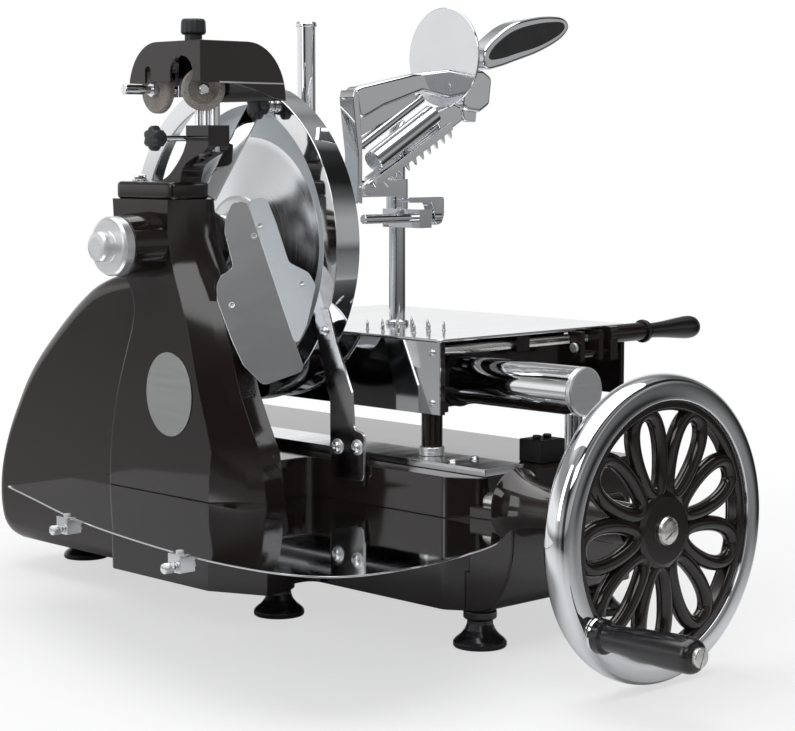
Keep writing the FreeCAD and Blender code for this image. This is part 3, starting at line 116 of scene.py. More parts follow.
def rounded(points, radius, steps=4):
    """The corners of a closed outline, each replaced by a short arc."""
    points = [Vector(p) for p in points]
    result = []
    for i, corner in enumerate(points):
        back = points[i - 1] - corner
        ahead = points[(i + 1) % len(points)] - corner
        angle = back.angle(ahead, math.pi)
        if angle > NEARLY_STRAIGHT or back.length == 0 or ahead.length == 0:
            result.append(corner)
            continue
        trim = min(radius / math.tan(angle / 2), 0.48 * back.length, 0.48 * ahead.length)
        start = corner + back.normalized() * trim
        end = corner + ahead.normalized() * trim
        for k in range(steps + 1):
            t = k / steps
            result.append(start * (1 - t) ** 2 + corner * (2 * t * (1 - t)) + end * t ** 2)
    return result


def curved(points, steps=6, closed=True):
    """A smooth line through all the points."""
    points = [Vector(p) for p in points]
    count = len(points)
    result = []
    for i in range(count if closed else count - 1):
        near = [i + k for k in (-1, 0, 1, 2)]
        if closed:
            a, b, c, d = (points[n % count] for n in near)
        else:
            a, b, c, d = (points[min(max(n, 0), count - 1)] for n in near)
        for k in range(steps):
            t = k / steps
            result.append(0.5 * (2 * b + (c - a) * t + (2 * a - 5 * b + 4 * c - d) * t ** 2
                                 + (3 * b - a - 3 * c + d) * t ** 3))
    if not closed:
        result.append(points[-1])
    return result


def rounded_profile(profile, corner):
    """A turned outline with its corners rounded, kept on the positive side of its axis."""
    return [(abs(p.x), p.y) for p in rounded(profile, corner, 3)]


def across_x(points_yz, x):
    return [at(x, y, z) for y, z in points_yz]


def across_y(points_xz, y):
    return [at(x, y, z) for x, z in points_xz]


def across_z(points_xy, z):
    return [at(x, y, z) for x, y in points_xy]


# Meshes

def put(name, bm, body, finish, nodes=()):
    """Turn a bmesh into a named piece that rides on a body and stands for CAD nodes."""
    mesh = bpy.data.meshes.new(name)
    bm.to_mesh(mesh)
    bm.free()
    return put_mesh(name, mesh, body, finish, nodes)


def put_mesh(name, mesh, body, finish, nodes=()):
    mesh.name = name
    mesh.materials.clear()
    mesh.materials.append(finishes[finish])
    mesh.shade_smooth()
    piece = bpy.data.objects.new(name, mesh)
    bpy.context.scene.collection.objects.link(piece)
    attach(piece, body)
    if nodes:
        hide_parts(*nodes)
    return piece


def soften(piece, width, segments=3, angle=32):
    """Round a piece's sharp edges and keep its flat faces flat in the light."""
    bevel = piece.modifiers.new("Rounded edges", "BEVEL")
    bevel.width = width * MM
    bevel.segments = segments
    bevel.limit_method = "ANGLE"
    bevel.angle_limit = math.radians(angle)
    bevel.use_clamp_overlap = True
    flatten(piece)
    return piece


def flatten(piece):
    normals = piece.modifiers.new("Flat faces", "WEIGHTED_NORMAL")
    normals.weight = 60
    normals.keep_sharp = False
    return piece


def add_lathe(bm, profile, origin, axis, steps=96, shape=None):
    """Turn a closed outline of (radius, distance along the axis), in millimetres.

    shape(radius, angle) gives another radius at each angle, for lobes, flutes and ridges.
    """
    turn = Z_AXIS.rotation_difference(axis).to_matrix()
    rings = []
    for radius, distance in profile:
        count = 1 if radius < ON_AXIS else steps
        ring = []
        for i in range(count):
            a = 2 * math.pi * i / count
            r = shape(radius, a) if shape else radius
            local = Vector((r * math.cos(a), r * math.sin(a), distance))
            ring.append(bm.verts.new(origin + MM * (turn @ local)))
        rings.append(ring)
    faces = []
    for a, b in zip(rings, rings[1:] + rings[:1]):
        if len(a) == 1 and len(b) == 1:
            continue
        for i in range(steps):
            j = i + 1
            corners = [a[i % len(a)], a[j % len(a)], b[j % len(b)], b[i % len(b)]]
            faces.append(bm.faces.new(list(dict.fromkeys(corners))))
    bmesh.ops.recalc_face_normals(bm, faces=faces)
    return bm


def lathe(name, profile, origin, axis, body, finish, nodes=(), steps=96, corner=0.8):
    """A turned piece whose profile corners are rounded."""
    bm = add_lathe(bmesh.new(), rounded_profile(profile, corner), origin, axis, steps)
    return flatten(put(name, bm, body, finish, nodes))


def solid_profile(profile):
    """Close a turned outline along its axis."""
    return [(0.0, profile[0][1])] + list(profile) + [(0.0, profile[-1][1])]


def add_prism(bm, outline, depth):
    """Push a flat outline along a vector, in metres, into a closed solid."""
    verts = [bm.verts.new(p) for p in outline]
    face = bm.faces.new(verts)
    made = bmesh.ops.extrude_face_region(bm, geom=[face])
    moved = [g for g in made["geom"] if isinstance(g, bmesh.types.BMVert)]
    bmesh.ops.translate(bm, verts=moved, vec=depth)
    bmesh.ops.recalc_face_normals(bm, faces=bm.faces)
    return bm


def prism(name, outline, depth, body, finish, nodes=(), edge=1.0, segments=3):
    bm = add_prism(bmesh.new(), outline, depth)
    return soften(put(name, bm, body, finish, nodes), edge, segments)


def add_block(bm, low, high):
    """A box between two corners given in millimetres."""
    x0, y0, z0 = low
    x1, y1, z1 = high
    part = add_prism(bmesh.new(), across_z(((x0, y0), (x1, y0), (x1, y1), (x0, y1)), z0),
                     Z_AXIS * ((z1 - z0) * MM))
    join(bm, part)
    return bm


def join(bm, part):
    """Add a copy of one bmesh to another."""
    mesh = bpy.data.meshes.new("part")
    part.to_mesh(mesh)
    part.free()
    bm.from_mesh(mesh)
    bpy.data.meshes.remove(mesh)
    return bm


def refined(node, finish, edge=0.8, segments=3):
    """A clean copy of a CAD node with its faces merged and its edges rounded."""
    body = frame["nodes"][node]["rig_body"]
    piece = put(node + "_finished", copied(node), body, finish, (node,))
    return soften(piece, edge, segments)


def copied(node):
    """A CAD node's mesh as a bmesh with its faces merged."""
    bm = bmesh.new()
    bm.from_mesh(frame["nodes"][node].data)
    bmesh.ops.remove_doubles(bm, verts=bm.verts, dist=0.00002)
    bmesh.ops.dissolve_limit(bm, angle_limit=math.radians(0.6), verts=bm.verts, edges=bm.edges)
    return bm


def evaluated(piece):
    """The mesh an object has after its modifiers; the object itself is dropped."""
    graph = bpy.context.evaluated_depsgraph_get()
    graph.update()
    mesh = bpy.data.meshes.new_from_object(piece.evaluated_get(graph), depsgraph=graph)
    bpy.data.objects.remove(piece)
    return mesh


def baked(piece, name, body, finish, nodes=()):
    """Turn an object with modifiers into a plain mesh piece and drop the original."""
    return put_mesh(name, evaluated(piece), body, finish, nodes)


def scratch(name, bm):
    """An object that only lives while something is cut from it or copied from it."""
    mesh = bpy.data.meshes.new(name)
    bm.to_mesh(mesh)
    bm.free()
    piece = bpy.data.objects.new(name, mesh)
    bpy.context.scene.collection.objects.link(piece)
    return piece


def cut(piece, tool, how="DIFFERENCE"):
    step = piece.modifiers.new(how, "BOOLEAN")
    step.operation = how
    step.object = tool
    step.solver = "EXACT"
    return piece


def carved(piece, tools, name, body, finish, nodes=()):
    """Cut the tools out of an object, make what is left a piece and drop the tools."""
    for tool in tools:
        cut(piece, tool)
    result = baked(piece, name, body, finish, nodes)
    for tool in tools:
        bpy.data.objects.remove(tool)
    return result


# Finishes

class Finish:
    """A material built up on its object's own coordinates."""

    def __init__(self, name, colour, metallic, roughness, **sockets):
        self.material = bpy.data.materials.new(name)
        self.material.use_nodes = True
        self.tree = self.material.node_tree
        self.shader = self.tree.nodes["Principled BSDF"]
        self.colour = tuple(colour) + (1.0,)
        self.shader.inputs["Base Color"].default_value = self.colour
        self.shader.inputs["Metallic"].default_value = metallic
        self.shader.inputs["Roughness"].default_value = roughness
        for socket, value in sockets.items():
            self.shader.inputs[socket.replace("_", " ")].default_value = value
        self.place = self.add("ShaderNodeTexCoord").outputs["Object"]
        self.normal = None

    def add(self, kind, **inputs):
        node = self.tree.nodes.new(kind)
        for key, value in inputs.items():
            socket = node.inputs[key.replace("_", " ")]
            if isinstance(value, bpy.types.NodeSocket):
                self.tree.links.new(value, socket)
            else:
                socket.default_value = value
        return node

    def vector_step(self, operation, first, second=None):
        node = self.add("ShaderNodeVectorMath")
        node.operation = operation
        self.tree.links.new(first, node.inputs[0])
        if second is not None:
            node.inputs[1].default_value = second
        return node

    def grain(self, scale, stretch=(1, 1, 1), detail=3.0, rough=0.5):
        """Noise that can be drawn out along an axis."""
        mapped = self.add("ShaderNodeMapping", Vector=self.place, Scale=stretch)
        noise = self.add("ShaderNodeTexNoise", Vector=mapped.outputs[0], Scale=scale, Detail=detail,
                         Roughness=rough)
        return noise.outputs["Fac"]

    def turning(self, centre, keep, scale, detail=2.0):
        """Fine rings about an axis through the centre; keep is 0 along that axis and 1 across."""
        moved = self.vector_step("SUBTRACT", self.place, centre)
        flat = self.vector_step("MULTIPLY", moved.outputs[0], keep)
        length = self.vector_step("LENGTH", flat.outputs[0])
        noise = self.add("ShaderNodeTexNoise")
        noise.noise_dimensions = "1D"
        noise.inputs["Scale"].default_value = scale
        noise.inputs["Detail"].default_value = detail
        self.tree.links.new(length.outputs["Value"], noise.inputs["W"])
        return noise.outputs["Fac"]

    def vary_roughness(self, factor, low, high):
        spread = self.add("ShaderNodeMapRange", Value=factor)
        spread.inputs["From Min"].default_value = 0.3
        spread.inputs["From Max"].default_value = 0.7
        spread.inputs["To Min"].default_value = low
        spread.inputs["To Max"].default_value = high
        self.tree.links.new(spread.outputs[0], self.shader.inputs["Roughness"])
        return self

    def vary_colour(self, factor, dark, light):
        ramp = self.add("ShaderNodeValToRGB", Fac=factor)
        ramp.color_ramp.elements[0].position = 0.32
        ramp.color_ramp.elements[1].position = 0.68
        base = Vector(self.colour[:3])
        ramp.color_ramp.elements[0].color = tuple(base * dark) + (1,)
        ramp.color_ramp.elements[1].color = tuple(base * light) + (1,)
        self.tree.links.new(ramp.outputs[0], self.shader.inputs["Base Color"])
        return self

    def relief(self, factor, strength, distance):
        bump = self.add("ShaderNodeBump", Height=factor, Strength=strength, Distance=distance)
        if self.normal:
            self.tree.links.new(self.normal, bump.inputs["Normal"])
        self.normal = bump.outputs[0]
        self.tree.links.new(self.normal, self.shader.inputs["Normal"])
        return self


def enamel(colour):
    """Near-black gloss enamel on a casting, with a faint unevenness under the gloss."""
    finish = Finish("dark_gloss_enamel", colour, 0.0, 0.09, Specular_IOR_Level=0.6)
    finish.vary_roughness(finish.grain(14.0), 0.07, 0.12)
    finish.vary_colour(finish.grain(5.0), 0.92, 1.08)
    finish.relief(finish.grain(45.0, detail=1.0), 0.02, 0.0005)
    return finish.material


def chrome():
    finish = Finish("polished_chrome", (0.80, 0.81, 0.83), 1.0, 0.05)
    finish.vary_roughness(finish.grain(9.0, detail=4.0), 0.03, 0.07)
    finish.vary_colour(finish.grain(4.0), 0.97, 1.02)
    return finish.material


def bright_steel(name="bright_steel_sheet", low=0.10, high=0.16):
    """Polished stainless sheet with a trace of its rolling direction."""
    finish = Finish(name, (0.74, 0.75, 0.77), 1.0, low)
    streaks = finish.grain(60.0, (0.06, 1.0, 1.0), 3.0)
    finish.vary_roughness(streaks, low, high)
    finish.vary_colour(finish.grain(7.0), 0.97, 1.02)
    return finish.material


def turned_steel(name, centre, keep, colour, low, high, scale, relief=0.02, metallic=1.0):
    """Steel with the fine rings that a lathe or a grinder leaves."""
    finish = Finish(name, colour, metallic, low)
    rings = finish.turning(centre, keep, scale)
    finish.vary_roughness(rings, low, high)
    finish.relief(rings, relief, 0.0001)
    finish.vary_colour(finish.grain(12.0), 0.96, 1.02)
    return finish.material


def bakelite():
    finish = Finish("black_moulded_plastic", (0.012, 0.012, 0.014), 0.0, 0.2, Coat_Weight=0.25)
    finish.vary_roughness(finish.grain(60.0), 0.16, 0.27)
    finish.relief(finish.grain(500.0, detail=1.0), 0.03, 0.0001)
    return finish.material


def knob_plastic():
    finish = Finish("grained_black_plastic", (0.03, 0.032, 0.038), 0.0, 0.42)
    finish.vary_roughness(finish.grain(120.0), 0.36, 0.5)
    finish.relief(finish.grain(900.0, detail=2.0), 0.15, 0.0001)
    return finish.material


def abrasive():
    finish = Finish("bonded_abrasive", (0.34, 0.31, 0.28), 0.0, 0.85)
    finish.vary_colour(finish.grain(700.0, detail=5.0), 0.6, 1.45)
    finish.vary_roughness(finish.grain(300.0), 0.75, 0.95)
    finish.relief(finish.grain(900.0, detail=4.0, rough=0.7), 0.6, 0.0004)
    return finish.material


def dark_iron():
    finish = Finish("oiled_dark_iron", (0.035, 0.034, 0.034), 0.7, 0.34)
    finish.vary_roughness(finish.grain(80.0, detail=4.0), 0.25, 0.45)
    finish.relief(finish.grain(300.0), 0.12, 0.0002)
    return finish.material


def bronze():
    finish = Finish("bearing_bronze", (0.55, 0.36, 0.16), 1.0, 0.3)
    finish.vary_roughness(finish.grain(70.0), 0.22, 0.38)
    finish.vary_colour(finish.grain(15.0), 0.85, 1.1)
    return finish.material


def badge_metal():
    """Grey satin plate for the bare badge."""
    finish = Finish("satin_badge_plate", (0.42, 0.43, 0.43), 1.0, 0.34)
    streaks = finish.grain(160.0, (1.0, 0.05, 1.0), 3.0)
    finish.vary_roughness(streaks, 0.28, 0.42)
    finish.relief(streaks, 0.08, 0.0001)
    return finish.material


# Screws and other repeated pieces

def new_tree(name, inputs, kinds):
    """A Geometry Nodes tree with named inputs, and its nodes by the names they are given here."""
    tree = bpy.data.node_groups.new(name, "GeometryNodeTree")
    for label, kind in inputs.items():
        socket = tree.interface.new_socket(label, in_out="INPUT", socket_type="NodeSocket" + kind)
        if kind == "Float":
            socket.default_value = 1.0
    tree.interface.new_socket("Geometry", in_out="OUTPUT", socket_type="NodeSocketGeometry")
    kinds = {"given": "NodeGroupInput", **kinds, "real": "GeometryNodeRealizeInstances",
             "paint": "GeometryNodeSetMaterial", "out": "NodeGroupOutput"}
    return tree, {label: tree.nodes.new(kind) for label, kind in kinds.items()}


def wire(tree, made, routes):
    """Link the nodes; every tree ends in copies made real and painted."""
    ending = (("copies", "Instances", "real", "Geometry"),
              ("real", "Geometry", "paint", "Geometry"),
              ("given", "Finish", "paint", "Material"),
              ("paint", "Geometry", "out", "Geometry"))
    for source, leaving, target, entering in (*routes, *ending):
        tree.links.new(made[source].outputs[leaving], made[target].inputs[entering])


def grown(name, mesh, tree, inputs):
    """An object that runs a tree on a mesh, with the tree's named inputs set."""
    holder = bpy.data.objects.new(name, mesh)
    bpy.context.scene.collection.objects.link(holder)
    modifier = holder.modifiers.new(tree.name, "NODES")
    modifier.node_group = tree
    sockets = {item.name: item.identifier for item in tree.interface.items_tree}
    for label, value in inputs.items():
        modifier[sockets[label]] = value
    return holder


def scatter_tree():
    """Copies of one object on every point, turned by the point's own turn attribute."""
    tree, made = new_tree(
        "scatter",
        {"Points": "Geometry", "Copied object": "Object", "Size": "Float", "Finish": "Material"},
        {"dots": "GeometryNodeMeshToPoints", "info": "GeometryNodeObjectInfo",
         "turn": "GeometryNodeInputNamedAttribute", "to_turn": "FunctionNodeEulerToRotation",
         "copies": "GeometryNodeInstanceOnPoints"})
    made["turn"].data_type = "FLOAT_VECTOR"
    made["turn"].inputs["Name"].default_value = "turn"
    wire(tree, made, (("given", "Points", "dots", "Mesh"),
                      ("given", "Copied object", "info", "Object"),
                      ("dots", "Points", "copies", "Points"),
                      ("info", "Geometry", "copies", "Instance"),
                      ("turn", "Attribute", "to_turn", "Euler"),
                      ("to_turn", "Rotation", "copies", "Rotation"),
                      ("given", "Size", "copies", "Scale")))
    return tree


def scatter(name, make_pattern, spots, body, finish, nodes=(), size=1.0):
    """Put a copy of a pattern at each (place, facing) spot and bake them into one piece."""
    pattern = scratch(name + "_pattern", make_pattern())
    mesh = bpy.data.meshes.new(name)
    mesh.from_pydata([place for place, _ in spots], [], [])
    turns = mesh.attributes.new("turn", "FLOAT_VECTOR", "POINT")
    for item, (_, facing) in zip(turns.data, spots):
        item.vector = Z_AXIS.rotation_difference(facing).to_euler()
    tree = bpy.data.node_groups.get("scatter") or scatter_tree()
    holder = grown(name, mesh, tree, {"Copied object": pattern, "Size": size,
                                      "Finish": finishes[finish]})
    piece = flatten(baked(holder, name, body, finish, nodes))
    bpy.data.objects.remove(pattern)
    return piece


def socket_screw():
    """A domed cap screw with a hexagon socket, one millimetre in radius."""
    bm = bmesh.new()
    sides = 24
    socket = 0.40
    angles = [2 * math.pi * i / sides for i in range(sides)]
    rings = [([radius] * sides, height) for radius, height in (
        (1.0, 0.0), (1.0, 0.35), (0.93, 0.52), (0.72, 0.64), (0.48, 0.68))]
    hexagon = [socket / math.cos((a % (math.pi / 3)) - math.pi / 6) for a in angles]
    rings += [(hexagon, 0.66), (hexagon, 0.2)]
    loops = [[bm.verts.new(MM * Vector((r * math.cos(a), r * math.sin(a), height)))
              for a, r in zip(angles, radii)] for radii, height in rings]
    for a, b in zip(loops, loops[1:]):
        for i in range(sides):
            j = (i + 1) % sides
            bm.faces.new((a[i], a[j], b[j], b[i]))
    bm.faces.new(loops[-1])
    bm.faces.new(list(reversed(loops[0])))
    bmesh.ops.recalc_face_normals(bm, faces=bm.faces)
    return bm


def hex_bolt():
    """A hexagon bolt head on a round washer, one millimetre across its corners' radius."""
    washer = ((0, 0), (1.25, 0), (1.25, 0.22), (0, 0.22))
    bm = add_lathe(bmesh.new(), rounded_profile(washer, 0.05), Vector(), Z_AXIS, 24)
    outline = [MM * Vector((math.cos(math.pi * k / 3), math.sin(math.pi * k / 3), 0.22))
               for k in range(6)]
    head = add_prism(bmesh.new(), outline, Z_AXIS * (0.7 * MM))
    bmesh.ops.bevel(head, geom=head.edges[:], offset=0.08 * MM, segments=2, affect="EDGES")
    return join(bm, head)


def slotted_screw():
    """A flat cheese-head screw with a straight slot, one millimetre in radius."""
    head = ((0, 0), (1.0, 0), (1.0, 0.4), (0, 0.4))
    body = scratch("slotted", add_lathe(bmesh.new(), rounded_profile(head, 0.12), Vector(), Z_AXIS,
                                        32))
    outline = [MM * Vector((x, y, 0.22))
               for x, y in ((-1.2, -0.12), (1.2, -0.12), (1.2, 0.12), (-1.2, 0.12))]
    tool = scratch("slot", add_prism(bmesh.new(), outline, Z_AXIS * (0.4 * MM)))
    cut(body, tool)
    result = bmesh.new()
    result.from_mesh(evaluated(body))
    bpy.data.objects.remove(tool)
    return result


def lobed_knob(name, origin, axis, radius, length, lobes, neck, body, nodes, finish):
    """A moulded hand knob: lobes that swell towards its face, on a plain neck."""
    def dented(r, angle):
        share = r / radius
        lobe = 0.5 + 0.5 * math.cos(lobes * angle)
        dent = 1 - 0.24 * (1 - lobe ** 0.7) * min(1.0, share * 1.1)
        return r * (dent if share > 0.5 else 1.0)

    head = [(radius * share, length * (neck + (1 - neck) * rise)) for share, rise in (
        (0.0, 0.0), (0.30, 0.0), (0.42, 0.03), (0.86, 0.16), (0.98, 0.24), (1.0, 0.42),
        (0.97, 0.80), (0.86, 0.93), (0.60, 1.0), (0.0, 1.0))]
    bm = add_lathe(bmesh.new(), head, origin, axis, lobes * 12, dented)
    collar = ((0, 0), (radius * 0.52, 0), (radius * 0.46, length * neck * 1.3),
              (0, length * neck * 1.3))
    add_lathe(bm, rounded_profile(collar, 0.8), origin, axis, 48)
    return flatten(put(name, bm, body, finish, nodes))


# Sizes and colours that a user may change

class SlicerFinishSettings(bpy.types.PropertyGroup):
    """Colours of the slicer."""
    enamel_colour: bpy.props.FloatVectorProperty(
        name="Enamel colour", description="Colour of the painted castings", subtype="COLOR",
        size=3, min=0.0, max=1.0, default=(0.0165, 0.0112, 0.0105))
    steel_colour: bpy.props.FloatVectorProperty(
        name="Blade colour", description="Colour of the ground blade steel", subtype="COLOR",
        size=3, min=0.0, max=1.0, default=(0.78, 0.80, 0.82))


class SlicerSizeSettings(bpy.types.PropertyGroup):
    """Sizes of the slicer's finishing details."""
    casting_edge: bpy.props.FloatProperty(
        name="Casting edge", description="Rounding of the castings' edges in millimetres",
        default=4.0, min=0.2, max=8.0)
    sheet_edge: bpy.props.FloatProperty(
        name="Sheet edge", description="Rounding of the sheet metal's edges in millimetres",
        default=0.4, min=0.1, max=1.0)
    screw_radius: bpy.props.FloatProperty(
        name="Screw radius", description="Radius of the small screw heads in millimetres",
        default=3.4, min=1.0, max=6.0)
    petal_count: bpy.props.IntProperty(
        name="Petals", description="Number of oval loops in the flywheel", default=9, min=3,
        max=16)
    turning_steps: bpy.props.IntProperty(
        name="Turning steps", description="Facets round a large turned piece", default=160,
        min=48, max=256)


class SlicerStageSettings(bpy.types.PropertyGroup):
    """The floor, the light and the camera."""
    floor_radius: bpy.props.FloatProperty(
        name="Floor radius", description="Radius of the pale floor", default=9.0, min=2.0,
        unit="LENGTH")
    key_power: bpy.props.FloatProperty(
        name="Key light", description="Power of the large soft light", default=52.0, min=0.0,
        unit="POWER")
    lens: bpy.props.FloatProperty(
        name="Lens", description="Focal length of the camera in millimetres", default=95.1,
        min=20.0, max=200.0)


def settings():
    scene = bpy.context.scene
    return scene.slicer_finish, scene.slicer_size, scene.slicer_stage


# Stage

class SLICER_OT_finishes(bpy.types.Operator):
    """Make every finish that the pieces are given"""
    bl_idname = "slicer.finishes"
    bl_label = "Finishes"

    def execute(self, context):
        colours, _, _ = settings()
        finishes["enamel"] = enamel(colours.enamel_colour)
        finishes["chrome"] = chrome()
        finishes["sheet"] = bright_steel()
        finishes["mirror"] = bright_steel("mirror_polished_sheet", 0.03, 0.06)
        finishes["bakelite"] = bakelite()
        finishes["knob"] = knob_plastic()
        finishes["stone"] = abrasive()
        finishes["iron"] = dark_iron()
        finishes["bronze"] = bronze()
        finishes["badge"] = badge_metal()
        finishes["blade"] = turned_steel("ground_blade_steel", BLADE_CENTRE, (0, 1, 1),
                                         colours.steel_colour, 0.16, 0.24, 500.0, 0.02)
        finishes["bevel"] = turned_steel("satin_ground_bevel", BLADE_CENTRE, (0, 1, 1),
                                         (0.76, 0.82, 0.86), 0.30, 0.38, 700.0, 0.02, 0.2)
        finishes["cap"] = turned_steel("turned_aluminium", BLADE_CENTRE, (0, 1, 1),
                                       (0.82, 0.83, 0.84), 0.30, 0.42, 1200.0, 0.02, 0.85)
        axle = at(0, 0, middle("wheel_shaft").z)
        finishes["turned"] = turned_steel("turned_bright_steel", axle, (1, 0, 1),
                                          (0.78, 0.77, 0.75), 0.24, 0.34, 1200.0)
        return {"FINISHED"}


class SLICER_OT_stage(bpy.types.Operator):
    """Lay the pale floor, hang the soft lights and set the camera"""
    bl_idname = "slicer.stage"
    bl_label = "Stage"

    def execute(self, context):
        _, _, stage = settings()
        floor_mesh = bmesh.new()
        bmesh.ops.create_circle(floor_mesh, cap_ends=True, segments=96, radius=stage.floor_radius)
        mesh = bpy.data.meshes.new("floor")
        floor_mesh.to_mesh(mesh)
        floor_mesh.free()
        floor = bpy.data.objects.new("floor", mesh)
        bpy.context.scene.collection.objects.link(floor)
        mesh.materials.append(floor_finish())
        soft_world()
        centre = at(0, -100, -200)
        lamp("top", at(0, -100, 1900), centre, (2.6, 2.6), stage.key_power)
        lamp("left", at(-2300, 100, 900), centre, (0.6, 1.7), stage.key_power * 0.16)
        lamp("front", at(-1900, -1800, 1500), centre, (1.4, 0.8), stage.key_power * 0.2)
        place_camera(stage.lens)
        return {"FINISHED"}


def floor_finish():
    """Pale floor that keeps the shadow near the object and is plain white farther out."""
    finish = Finish("pale_floor", (0.82, 0.82, 0.83), 0.0, 0.75)
    tree = finish.tree
    distance = finish.vector_step("LENGTH", finish.place)
    fades = []
    for start in (0.0, 0.62):
        fade = finish.add("ShaderNodeMapRange", Value=distance.outputs["Value"])
        fade.inputs["From Min"].default_value = 0.4
        fade.inputs["From Max"].default_value = 1.15
        fade.inputs["To Min"].default_value = start
        fades.append(fade.outputs[0])
    white = finish.add("ShaderNodeEmission", Color=(1, 1, 1, 1))
    clear = finish.add("ShaderNodeBsdfTransparent")
    seen = finish.add("ShaderNodeLightPath")
    far = finish.add("ShaderNodeMixShader")
    tree.links.new(seen.outputs["Is Camera Ray"], far.inputs[0])
    tree.links.new(clear.outputs[0], far.inputs[1])
    tree.links.new(white.outputs[0], far.inputs[2])
    share = finish.add("ShaderNodeMixRGB", Fac=seen.outputs["Is Camera Ray"])
    tree.links.new(fades[0], share.inputs[1])
    tree.links.new(fades[1], share.inputs[2])
    mix = finish.add("ShaderNodeMixShader")
    tree.links.new(share.outputs[0], mix.inputs[0])
    tree.links.new(finish.shader.outputs[0], mix.inputs[1])
    tree.links.new(far.outputs[0], mix.inputs[2])
    tree.links.new(mix.outputs[0], tree.nodes["Material Output"].inputs[0])
    finish.vary_roughness(finish.grain(5.0), 0.65, 0.85)
    return finish.material


def level_ramp(tree, value, stops):
    """Grey levels along one value."""
    ramp = tree.nodes.new("ShaderNodeValToRGB")
    tree.links.new(value, ramp.inputs[0])
    ends = ramp.color_ramp.elements
    ends[0].position, ends[1].position = stops[0][0], stops[-1][0]
    ends[0].color = (stops[0][1],) * 3 + (1,)
    ends[1].color = (stops[-1][1],) * 3 + (1,)
    for position, level in stops[1:-1]:
        ends.new(position).color = (level, level, level, 1)
    return ramp.outputs[0]


def soft_world():
    """White paper behind, dim room in front, and dark gaps that polished metal mirrors."""
    world = bpy.data.worlds.new("studio")
    bpy.context.scene.world = world
    world.use_nodes = True
    tree = world.node_tree
    direction = tree.nodes.new("ShaderNodeTexCoord").outputs["Generated"]
    ahead = tree.nodes.new("ShaderNodeVectorMath")
    ahead.operation = "DOT_PRODUCT"
    ahead.inputs[1].default_value = (0, 0.5, 0)
    tree.links.new(direction, ahead.inputs[0])
    shifted = tree.nodes.new("ShaderNodeMath")
    shifted.inputs[1].default_value = 0.5
    tree.links.new(ahead.outputs["Value"], shifted.inputs[0])
    around = level_ramp(tree, shifted.outputs[0], (
        (0.0, 0.45), (0.10, 0.40), (0.165, 0.42), (0.23, 0.05), (0.36, 0.05), (0.43, 0.40),
        (0.50, 0.45), (0.58, 0.30), (0.66, 0.60), (0.76, 1.0), (1.0, 1.0)))
    split = tree.nodes.new("ShaderNodeSeparateXYZ")
    tree.links.new(direction, split.inputs[0])
    height = tree.nodes.new("ShaderNodeMath")
    height.operation = "MULTIPLY_ADD"
    height.inputs[1].default_value = 0.5
    height.inputs[2].default_value = 0.5
    tree.links.new(split.outputs["Z"], height.inputs[0])
    upward = level_ramp(tree, height.outputs[0], (
        (0.0, 0.8), (0.36, 0.65), (0.43, 0.45), (0.465, 0.30), (0.505, 0.95), (0.60, 1.0),
        (0.66, 0.6), (0.70, 0.34), (0.80, 0.30), (0.86, 0.8), (1.0, 0.9)))
    product = tree.nodes.new("ShaderNodeMixRGB")
    product.blend_type = "MULTIPLY"
    product.inputs[0].default_value = 1.0
    tree.links.new(around, product.inputs[1])
    tree.links.new(upward, product.inputs[2])
    seen = tree.nodes.new("ShaderNodeLightPath")
    pick = tree.nodes.new("ShaderNodeMixRGB")
    tree.links.new(seen.outputs["Is Camera Ray"], pick.inputs[0])
    tree.links.new(product.outputs[0], pick.inputs[1])
    pick.inputs[2].default_value = (1, 1, 1, 1)
    tree.links.new(pick.outputs[0], tree.nodes["Background"].inputs[0])
    tree.nodes["Background"].inputs[1].default_value = 1.0


def lamp(name, place, target, size, power):
    light = bpy.data.lights.new(name, "AREA")
    light.shape = "RECTANGLE"
    light.size, light.size_y = size
    light.energy = power
    holder = bpy.data.objects.new(name, light)
    bpy.context.scene.collection.objects.link(holder)
    holder.location = place
    holder.rotation_euler = (target - place).to_track_quat("-Z", "Y").to_euler()


def place_camera(lens):
    """The photograph's viewpoint: left of the operator, a little above the table."""
    data = bpy.data.cameras.new("camera")
    data.lens = lens
    data.sensor_width = 36.0
    camera = bpy.data.objects.new("camera", data)
    bpy.context.scene.collection.objects.link(camera)
    camera.location = at(-1491, -1785, 102)
    ahead = Vector((0.68782, 0.71852, -0.10314))
    camera.rotation_euler = ahead.to_track_quat("-Z", "Y").to_euler()
    bpy.context.scene.camera = camera


# Castings

class SLICER_OT_castings(bpy.types.Operator):
    """Base, bell-shaped column, swan neck and feet in gloss enamel"""
    bl_idname = "slicer.castings"
    bl_label = "Castings"

    def execute(self, context):
        _, sizes, _ = settings()
        make_base(sizes.casting_edge)
        make_column(sizes.casting_edge, sizes.turning_steps)
        make_neck()
        make_feet()
        refined("badge_plate", "badge", 0.4, 2)
        return {"FINISHED"}


def add_skin(bm, rings):
    """Join rings of points, counted in millimetres from the blade, into one closed skin."""
    loops = [[bm.verts.new(at(*p)) for p in ring] for ring in rings]
    count = len(loops[0])
    for a, b in zip(loops, loops[1:]):
        for i in range(count):
            j = (i + 1) % count
            bm.faces.new((a[i], a[j], b[j], b[i]))
    bm.faces.new(loops[0])
    bm.faces.new(loops[-1])
    bmesh.ops.recalc_face_normals(bm, faces=bm.faces)
    return bm


def inset(points, distance):
    """A closed (y, z) outline drawn in along its own normals."""
    area = sum(a[0] * b[1] - b[0] * a[1] for a, b in zip(points, points[1:] + points[:1]))
    turn = -1 if area > 0 else 1
    result = []
    for i, (y, z) in enumerate(points):
        before, after = points[i - 1], points[(i + 1) % len(points)]
        along = Vector((after[0] - before[0], after[1] - before[1])).normalized()
        result.append((y + turn * distance * along.y, z - turn * distance * along.x))
    return result


def ease(t):
    return t * t * (3 - 2 * t)


